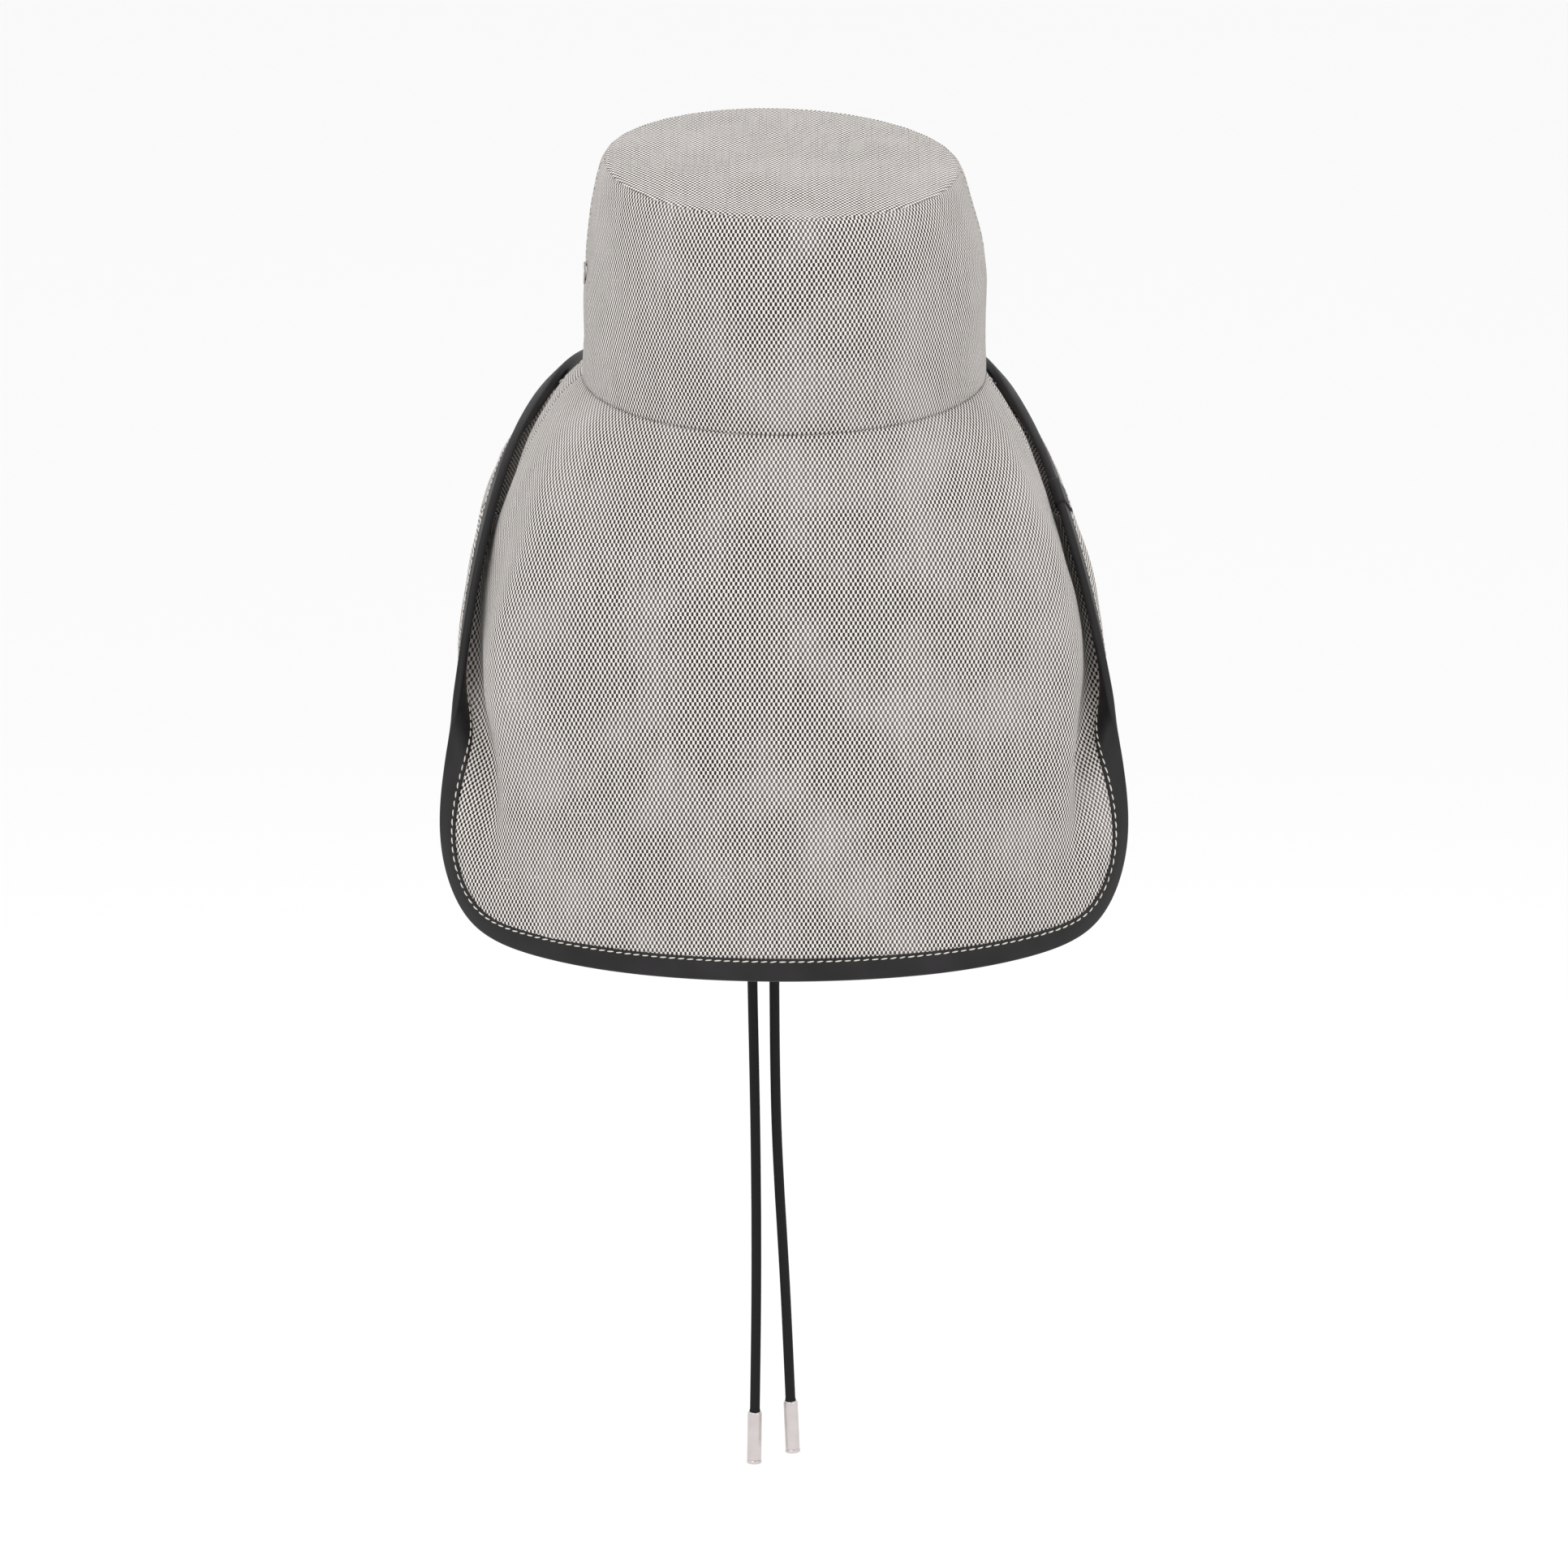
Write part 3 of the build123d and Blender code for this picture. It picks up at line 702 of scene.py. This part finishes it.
# ---------------------------------------------------------------- brim and flap cloths
def brim_cloth(name, first, last, outside, spacing, rows):
    """One cloth of the brim from turn first to last, on the outside or as the lining."""
    turns = even_turns(first + SEAM_GAP, last - SEAM_GAP, spacing, 0.8)
    drops = np.linspace(0, 1, rows)
    turn, drop = np.meshgrid(turns, drops, indexing="ij")
    mid = sheet(turn, drop)
    height = OUTER_FACE if outside else -OUTER_FACE + CANVAS
    to_side = np.minimum(turn - first, last - turn)
    # both cloths ripple together a little, and draw in at every seam
    near_edge = np.clip((1 - drop) / 0.25, 0, 1)
    near_top = np.clip(drop / 0.12, 0, 1)
    near_side = np.clip(to_side / 0.35, 0, 1)
    ripple = (0.75 * waves(mid, 62, 5) + 0.30 * waves(mid, 24, 8)) * near_edge * near_top
    seam = -0.55 * np.exp(-drop / 0.012) - 0.45 * np.exp(-to_side / 0.03)
    if not outside:
        seam = -seam * 0.4
    point = raised(turn, drop, height + ripple * (0.3 + 0.7 * near_side) + seam)
    columns = len(drops)
    faces = grid_faces(len(turns), columns)
    piece = new_mesh(name, point.reshape(-1, 3), faces, np.zeros((point.size // 3, 2)))
    middle = len(turns) // 2
    flatten_uv(piece, columns, (middle, 0), (middle, columns - 1))
    thicken(piece, CANVAS)
    outward(piece)
    return piece


def neck_flap(spacing):
    outer = dress(
        brim_cloth("flap_canvas", SIDE_SEAM, FULL_TURN - SIDE_SEAM, True, spacing, 120),
        "canvas")
    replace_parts(outer, "neck_flap_outer", "neck_flap_stiffener")
    lining = dress(
        brim_cloth("flap_lining_cloth", SIDE_SEAM, FULL_TURN - SIDE_SEAM, False, spacing * 1.5, 90),
        "canvas")
    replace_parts(lining, "neck_flap_lining")


def front_brim(spacing):
    outer = dress(
        brim_cloth("brim_canvas", -SIDE_SEAM, SIDE_SEAM, True, spacing, 70), "canvas")
    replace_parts(outer, "front_brim_outer", "front_brim_stiffener")
    lining = dress(
        brim_cloth("brim_lining_cloth", -SIDE_SEAM, SIDE_SEAM, False, spacing * 1.5, 60),
        "canvas")
    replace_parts(lining, "front_brim_lining")


# ---------------------------------------------------------------- crown cloths
def crown_point(angle, share, inset):
    narrow = 1 - CROWN_TAPER * share**CROWN_TAPER_POWER
    x = (SEAM_HALF_WIDTH * narrow - inset) * np.cos(angle)
    y = (SEAM_HALF_DEPTH * narrow - inset) * np.sin(angle)
    z = share * (CROWN_HEIGHT + CROWN_TILT * np.sin(angle))
    return slumped(np.stack([x, y, z], -1))


def slumped(point):
    """The crown as worn cloth: it leans a little and sits lower to the right."""
    share = np.clip(point[..., 2] / CROWN_HEIGHT, 0, 1)
    moved = point.copy()
    moved[..., 0] += 1.4 * np.sin(pi * share) ** 4 - 1.0 * share**3
    moved[..., 2] -= 0.030 * point[..., 0] * share**2
    return moved


def crown_half(name, first, last, inset=0.0, thickness=CANVAS):
    """One side panel of the crown's wall, or of its lining, with its seams turned in."""
    angles = np.radians(np.linspace(first + 0.15, last - 0.15, 181))
    rows = 64
    angle, share = np.meshgrid(angles, np.linspace(0.004, 0.990, rows), indexing="ij")
    flat = crown_point(angle, share, 0)
    to_end = np.minimum(angle - angles[0], angles[-1] - angle) * SEAM_HALF_WIDTH
    to_low, to_top = share * CROWN_HEIGHT, (share.max() - share) * CROWN_HEIGHT
    turned_in = (
        0.9 * np.exp(-to_top / 1.1) + 0.5 * np.exp(-to_low / 1.0) + 0.4 * np.exp(-to_end / 0.9)
    )
    near_seam = np.exp(-to_low / 5) + np.exp(-to_top / 4)
    pucker = 0.12 * np.sin(angle * SEAM_HALF_DEPTH / 3.1) * near_seam
    free = np.clip(to_low / 18, 0, 1) * np.clip(to_top / 12, 0, 1)
    soft = (0.7 * waves(flat, 55, 21) + 0.22 * waves(flat, 20, 22)) * free
    point = crown_point(angle, share, inset + turned_in - soft - pucker)
    piece = new_mesh(name, point.reshape(-1, 3), grid_faces(len(angles), rows)[:, ::-1],
                     np.zeros((point.size // 3, 2)))
    middle = len(angles) // 2
    flatten_uv(piece, rows, (middle, 0), (middle, rows - 1))
    thicken(piece, thickness)
    outward(piece)
    return piece


def crown_top(name, below=0.0, thickness=CANVAS):
    """The oval tip, or its lining, a shallow dome whose rim turns down into the seam."""
    rings = 56
    around = 256
    angle = np.linspace(0, 2 * pi, around, endpoint=False)
    radius = 1 - (1 - np.linspace(0, 1, rings)) ** 1.25
    r, a = np.meshgrid(radius[1:], angle, indexing="ij")
    narrow = (1 - CROWN_TAPER) * (1 - below / SEAM_HALF_WIDTH)
    x, y = r * np.cos(a), r * np.sin(a)
    flat = np.stack([x * SEAM_HALF_WIDTH * narrow, y * SEAM_HALF_DEPTH * narrow, 0 * x], -1)
    to_rim = (1 - r) * SEAM_HALF_WIDTH * narrow
    soft = (0.8 * waves(flat, 60, 31) + 0.25 * waves(flat, 22, 32)) * np.clip(to_rim / 12, 0, 1)
    down = 0.9 * np.exp(-to_rim / 1.2) - 0.1 * np.sin(a * 30) * np.exp(-to_rim / 4)
    flat[..., 2] = CROWN_HEIGHT + CROWN_TILT * y + TIP_RISE * (1 - r * r) + soft - down - below
    centre = np.array([[0, 0, CROWN_HEIGHT + TIP_RISE + soft[0].mean() - below]])
    point = slumped(np.concatenate([centre, flat.reshape(-1, 3)]))
    j = np.arange(around)
    faces = [[0, 1 + k, 1 + (k + 1) % around] for k in j]
    for i in range(rings - 2):
        a0, b0 = 1 + i * around, 1 + (i + 1) * around
        ahead = (j + 1) % around
        faces += np.stack([a0 + j, b0 + j, b0 + ahead, a0 + ahead], -1).tolist()
    piece = new_mesh(name, point, faces, point[:, :2] * MM)
    thicken(piece, thickness)
    outward(piece)
    return piece


def crown():
    back = dress(crown_half("crown_canvas_back", -180, 0), "canvas")
    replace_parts(back, "crown_band_back")
    front = dress(crown_half("crown_canvas_front", 0, 180), "canvas")
    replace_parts(front, "crown_band_front")
    top = dress(crown_top("crown_canvas_top"), "canvas")
    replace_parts(top, "crown_tip")
    inner = CANVAS + LINING_GAP
    lining = dress(crown_half("crown_lining_back", -180, 0, inner, LINING), "lining")
    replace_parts(lining, "crown_lining_band")
    dress(crown_half("crown_lining_front", 0, 180, inner, LINING), "lining")
    lining = dress(crown_top("crown_lining_top", inner, LINING), "lining")
    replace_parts(lining, "crown_lining_tip")


# ---------------------------------------------------------------- leather binding
# the fold's round front: shares of the reach outwards and of the face upwards
NOSE = [
    (0, 1.0), (0.45, 0.93), (0.8, 0.66), (1.0, 0.24),
    (1.0, -0.24), (0.8, -0.66), (0.45, -0.93), (0, -1.0),
]


def binding_rings(turns, width, face, thickness, reach):
    """Rings of the folded strip's section, mm: an outer U and the slot inside it."""
    shares = (1.0, 0.985, 0.93, 0.86, 0.70, 0.52, 0.34, 0.17)
    lifts = (-0.5, -0.12, 0.0, -0.10, 0.04, 0.10, 0.08, 0.03)
    drops = inset_drops(turns, np.array(shares)[::-1] * width)[:, ::-1]
    turn = turns[:, None] * np.ones(drops.shape)
    ripple = 0.10 * waves(sheet(turns, 1.0), 15, 41)[:, None]
    lift = np.array(lifts)[None] + ripple
    upper = raised(turn, drops, face + lift)
    lower = raised(turn, drops, -face - lift)[:, ::-1]
    edge = sheet(turns, 1.0)
    normal = sheet_normal(turns, 1.0)
    out = unit(edge - sheet(turns, inset_drops(turns, np.array([1.0]))[:, 0]))
    nose = np.stack([edge + out * reach * a + normal * face * b for a, b in NOSE], 1)
    slot = face - thickness
    slot_drops = drops[:, ::2]
    slot_turn = turns[:, None] * np.ones(slot_drops.shape)
    slot_low = raised(slot_turn, slot_drops, -slot)
    slot_high = raised(slot_turn, slot_drops, slot)[:, ::-1]
    return np.concatenate([upper, nose, lower, slot_low, slot_high], 1)


def strip(name, first, last, spacing, width, face, thickness, reach):
    turns = even_turns(first, last, spacing)
    rings = binding_rings(turns, width, face, thickness, reach)
    piece = new_mesh(name, rings.reshape(-1, 3), tube_faces(rings.shape[0], rings.shape[1], False))
    outward(piece)
    return piece


STITCH_INSET = 7.6          # from the bound edge
STITCH_PITCH = 4.05
STITCH_SLANT = 6            # degrees
STITCH_SEED = 50


def stitch_blank():
    """One short plump stitch, along X, as points and faces in mm."""
    deselect()
    bpy.ops.mesh.primitive_uv_sphere_add(segments=6, ring_count=5, radius=0.5)
    ball = bpy.context.object
    points = np.array([v.co[:] for v in ball.data.vertices])
    faces = [list(f.vertices) for f in ball.data.polygons]
    # the ball's poles point along the stitch, and its ends dive into the leather
    x = points[:, 2] * 3.2
    y = points[:, 0] * 0.66
    z = points[:, 1] * 0.55 + 0.16 - 0.42 * (np.abs(x) / 1.6) ** 4
    mesh = ball.data
    bpy.data.objects.remove(ball)
    bpy.data.meshes.remove(mesh)
    return np.stack([x, y, z], 1), faces


def stitch_row(name, first, last, face, side):
    """A row of stitches along the bound edge, on one side of the binding."""
    blank, faces = stitch_blank()
    turns = even_turns(first, last, 1.0, 0.94)
    drops = inset_drops(turns, np.array([STITCH_INSET]))[:, 0]
    height = side * (face - 0.02)
    line = raised(turns, drops, height * np.ones(len(turns)))
    gone = np.concatenate([[0], np.cumsum(np.linalg.norm(np.diff(line, axis=0), axis=1))])
    count = int(round(gone[-1] / STITCH_PITCH))
    at = (np.arange(count) + 0.5) * gone[-1] / count
    draw = np.random.default_rng(STITCH_SEED + side)
    turn = np.interp(at, gone, turns)
    drop = np.interp(at, gone, drops)
    centre = raised(turn, drop, height * np.ones(count))
    before, after = [
        np.stack([np.interp(at + step, gone, line[:, i]) for i in range(3)], 1)
        for step in (-0.5, 0.5)
    ]
    along = unit(after - before)
    normal = sheet_normal(turn, drop) * side
    across = unit(np.cross(normal, along))
    angle = radians(STITCH_SLANT) + draw.normal(0, 0.03, count)
    x_dir = along * np.cos(angle)[:, None] + across * np.sin(angle)[:, None]
    y_dir = np.cross(normal, x_dir)
    size = draw.normal(1, 0.04, (count, 1, 1))
    point = centre[:, None] + size * (
        blank[None, :, :1] * x_dir[:, None] + blank[None, :, 1:2] * y_dir[:, None]
        + blank[None, :, 2:] * normal[:, None])
    number = len(blank)
    all_faces = [[v + k * number for v in f] for k in range(count) for f in faces]
    return new_mesh(name, point.reshape(-1, 3), all_faces)


def binding():
    long_strip = strip(
        "binding_strip", SIDE_SEAM + SEAM_GAP, SIDE_SEAM + FULL_TURN - SEAM_GAP, 2.0,
        BINDING_WIDTH, STRIP_FACE, STRIP, BINDING_REACH)
    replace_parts(dress(long_strip, "binding"), "edge_binding")
    join = strip(
        "binding_join_cover", SIDE_SEAM - 0.17, SIDE_SEAM + 0.17, 1.2,
        BINDING_WIDTH + 0.5, JOIN_FACE, JOIN, BINDING_REACH + 0.5)
    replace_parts(dress(join, "binding"), "binding_join")
    for side, name in ((1, "outer"), (-1, "under")):
        row = stitch_row(
            f"binding_stitches_{name}", SIDE_SEAM + 0.2, SIDE_SEAM + FULL_TURN - 0.2,
            STRIP_FACE, side)
        dress(row, "thread")
        row = stitch_row(
            f"join_stitches_{name}", SIDE_SEAM - 0.15, SIDE_SEAM + 0.15, JOIN_FACE, side)
        dress(row, "thread")


# ---------------------------------------------------------------- cords and aglets
def arc_route(route, radii):
    """Points along the route's straight runs and the arcs at its corners, mm."""
    corners = [np.array(p, float) for p in route]
    points = [corners[0]]
    for before, here, after, radius in zip(corners, corners[1:], corners[2:], radii):
        run_in, run_out = unit(here - before), unit(after - here)
        half = np.arccos(np.clip(run_in.dot(run_out), -1, 1)) / 2
        reach = radius * np.tan(half)
        start, stop = here - run_in * reach, here + run_out * reach
        bend = unit(run_out - run_in)
        centre = here + bend * radius / cos(half)
        count = 3 if half < 0.03 else 9
        for t in np.linspace(-half, half, count):
            points.append(centre - bend * radius * cos(t) + unit(stop - start) * radius * sin(t))
    points.append(corners[-1])
    return points


def cord_curve(name, points, radius):
    curve = bpy.data.curves.new(name, "CURVE")
    curve.dimensions = "3D"
    curve.bevel_depth = radius * MM
    curve.bevel_resolution = 7
    curve.resolution_u = 8
    curve.use_fill_caps = True
    spline = curve.splines.new("NURBS")
    spline.points.add(len(points) - 1)
    for item, point in zip(spline.points, points):
        item.co = (*(np.asarray(point) * MM), 1.0)
    spline.order_u = 3
    spline.use_endpoint_u = True
    piece = bpy.data.objects.new(name, curve)
    bpy.context.scene.collection.objects.link(piece)
    return piece


def spin_profile(name, profile, segments):
    """A turned piece: the (radius, height) profile, mm, spun about Z with bpy.ops."""
    deselect()
    bpy.ops.mesh.primitive_plane_add(size=1)
    piece = bpy.context.object
    piece.name = name
    mesh = bmesh.new()
    made = [mesh.verts.new((r * MM, 0, z * MM)) for r, z in profile]
    for a, b in zip(made, made[1:]):
        mesh.edges.new((a, b))
    mesh.to_mesh(piece.data)
    mesh.free()
    pick(piece)
    bpy.ops.object.mode_set(mode="EDIT")
    bpy.ops.mesh.select_all(action="SELECT")
    bpy.ops.mesh.spin(steps=segments, angle=2 * pi, center=(0, 0, 0), axis=(0, 0, 1), dupli=False)
    bpy.ops.mesh.select_all(action="SELECT")
    bpy.ops.mesh.remove_doubles(threshold=1e-7)
    bpy.ops.mesh.normals_make_consistent(inside=False)
    bpy.ops.object.mode_set(mode="OBJECT")
    piece.data.shade_smooth()
    return piece


def place_mesh(piece, matrix):
    piece.data.transform(matrix)
    piece.data.update()


# radius and height, mm, up the inside of the tube and down its outside
AGLET_PROFILE = [
    (0.0, 5.6), (2.22, 5.6), (2.22, 0.2), (2.42, 0.0), (2.75, 0.05), (3.0, 0.35), (3.14, 0.9),
    (3.19, 2.0), (3.2, 12.0), (3.2, 21.2), (3.16, 21.75), (2.9, 21.9), (2.9, 22.05), (3.2, 22.2),
    (3.34, 22.5), (3.36, 22.9), (3.3, 23.3), (3.1, 23.55), (2.8, 23.6), (2.6, 23.35), (2.5, 22.8),
    (2.4, 22.5), (0.0, 22.45),
]
# the cord swells a little where its tube grips it
COLLAR_PROFILE = [
    (0.0, -1.2), (1.6, -1.5), (2.16, -1.5), (2.26, -1.1), (2.36, -0.5), (2.42, 0.0),
    (2.2, 0.12), (0.0, 0.15),
]


def chin_cord(name):
    route = CORD_ROUTES[name]
    points = arc_route(route, CORD_RADII[name])
    piece = cord_curve(f"cord_{name}", points, CORD_RADIUS)
    dress(piece, "cord")
    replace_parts(piece, f"chin_cord_{name}")
    end, before = Vector(route[-1]), Vector(route[-2])
    hang = (end - before).normalized()
    top = (end - hang * AGLET_GRIP) * MM
    aglet = spin_profile(f"aglet_tube_{name}", AGLET_PROFILE, 48)
    turn = Vector((0, 0, 1)).rotation_difference(hang).to_matrix().to_4x4()
    place_mesh(aglet, Matrix.Translation(top) @ turn)
    dress(aglet, "silver")
    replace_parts(aglet, f"aglet_{name}")
    collar = spin_profile(f"cord_mouth_{name}", COLLAR_PROFILE, 32)
    place_mesh(collar, Matrix.Translation(top) @ turn)
    dress(collar, "cord")


# ---------------------------------------------------------------- stage
def area_light(name, place, aim, size, power):
    light = bpy.data.lights.new(name, "AREA")
    light.shape = "DISK"
    light.size = size
    light.energy = power
    item = bpy.data.objects.new(name, light)
    item.location = place
    item.rotation_euler = (Vector(aim) - Vector(place)).to_track_quat("-Z", "Y").to_euler()
    bpy.context.scene.collection.objects.link(item)


AIM = (0.0, 0.0, -0.1845)   # metres, as are the stage's other sizes
VIEW_HEIGHT = 0.687
VIEW_TILT = 15.0            # degrees
SENSOR_WIDTH = 36
FLOOR_HEIGHT = -0.9
SKY = 1.03


def stage(distance, power):
    tilt = radians(VIEW_TILT)
    camera = bpy.data.cameras.new("camera")
    camera.lens = SENSOR_WIDTH * distance / VIEW_HEIGHT
    camera.clip_end = 100
    item = bpy.data.objects.new("camera", camera)
    item.location = Vector(AIM) + distance * Vector((0, -cos(tilt), sin(tilt)))
    item.rotation_euler = (pi / 2 - tilt, 0, 0)
    bpy.context.scene.collection.objects.link(item)
    bpy.context.scene.camera = item

    deselect()
    bpy.ops.mesh.primitive_plane_add(size=60, location=(0, 0, FLOOR_HEIGHT))
    floor = bpy.context.object
    floor.name = "floor"
    floor.data.materials.append(material("floor", floor_material))

    area_light("key", (-0.9, -1.7, 1.7), (0, 0, -0.1), 1.3, 11 * power)
    area_light("fill", (1.7, -1.5, 0.6), (0, 0, -0.1), 1.5, 4 * power)
    area_light("top", (0.1, 0.3, 1.9), (0, 0, 0), 1.4, 4 * power)
    area_light("back", (0.2, 1.9, 0.8), (0, 0, -0.1), 1.4, 4 * power)
    world = bpy.data.worlds.new("studio")
    world.use_nodes = True
    world.node_tree.nodes["Background"].inputs[0].default_value = (1, 1, 1, 1)
    world.node_tree.nodes["Background"].inputs[1].default_value = SKY
    bpy.context.scene.world = world
    bpy.context.scene.view_settings.view_transform = "Standard"


# ---------------------------------------------------------------- settings, operators, panel
class HatSettings(bpy.types.PropertyGroup):
    spacing: bpy.props.FloatProperty(
        name="Cloth spacing", description="Distance between columns of the flap's mesh",
        default=0.0028, min=0.001, max=0.02, unit="LENGTH")
    distance: bpy.props.FloatProperty(
        name="Camera distance", description="From the camera to the middle of the view",
        default=16.0, min=1.0, max=30.0, unit="LENGTH")
    power: bpy.props.FloatProperty(
        name="Light", description="Share of the lamps' full power", default=1.0, min=0.0, max=4.0)


class HAT_OT_stage(bpy.types.Operator):
    """Sets up the camera, the lamps and the floor"""
    bl_idname = "hat.stage"
    bl_label = "Stage"

    def execute(self, context):
        stage(context.scene.hat.distance, context.scene.hat.power)
        return {"FINISHED"}


class HAT_OT_cords(bpy.types.Operator):
    """Hangs the two chin cords with their metal ends"""
    bl_idname = "hat.cords"
    bl_label = "Chin cords"

    def execute(self, context):
        chin_cord("left")
        chin_cord("right")
        return {"FINISHED"}


class HAT_OT_crown(bpy.types.Operator):
    """Models the crown's panels and its tip"""
    bl_idname = "hat.crown"
    bl_label = "Crown"

    def execute(self, context):
        crown()
        return {"FINISHED"}


class HAT_OT_flap(bpy.types.Operator):
    """Models the neck flap's two cloths"""
    bl_idname = "hat.flap"
    bl_label = "Neck flap"

    def execute(self, context):
        neck_flap(context.scene.hat.spacing / MM)
        return {"FINISHED"}


class HAT_OT_brim(bpy.types.Operator):
    """Models the front brim's two cloths"""
    bl_idname = "hat.brim"
    bl_label = "Front brim"

    def execute(self, context):
        front_brim(context.scene.hat.spacing / MM)
        return {"FINISHED"}


class HAT_OT_binding(bpy.types.Operator):
    """Folds the leather binding round the edge and stitches it"""
    bl_idname = "hat.binding"
    bl_label = "Binding"

    def execute(self, context):
        binding()
        return {"FINISHED"}


class HAT_OT_finish(bpy.types.Operator):
    """Gives every piece kept from the frame its material"""
    bl_idname = "hat.finish"
    bl_label = "Kept pieces"

    def execute(self, context):
        slots = {s["node"]: s["material_slot"] for s in frame["record"]["subparts"]}
        for node, item in frame["nodes"].items():
            if not item.material_slots:
                item.data.materials.append(None)
            for slot in item.material_slots:
                slot.link = "OBJECT"
                slot.material = look(slots[node])
        return {"FINISHED"}


OPERATORS = (
    HAT_OT_stage, HAT_OT_cords, HAT_OT_crown, HAT_OT_flap, HAT_OT_brim, HAT_OT_binding,
    HAT_OT_finish,
)


class HAT_PT_panel(bpy.types.Panel):
    """Lists the hat's pieces and its sizes"""
    bl_idname = "HAT_PT_panel"
    bl_label = "Hat"
    bl_space_type = "VIEW_3D"
    bl_region_type = "UI"
    bl_category = "Hat"

    def draw(self, context):
        for name in ("spacing", "distance", "power"):
            self.layout.prop(context.scene.hat, name)
        for operator in OPERATORS:
            self.layout.operator(operator.bl_idname)


CLASSES = (HatSettings, *OPERATORS, HAT_PT_panel)


def register():
    for item in CLASSES:
        bpy.utils.register_class(item)
    bpy.types.Scene.hat = bpy.props.PointerProperty(type=HatSettings)


def unregister():
    del bpy.types.Scene.hat
    for item in reversed(CLASSES):
        bpy.utils.unregister_class(item)


def main():
    register()
    for operator in OPERATORS:
        family, name = operator.bl_idname.split(".")
        getattr(getattr(bpy.ops, family), name)()


if __name__ == "__main__":
    main()
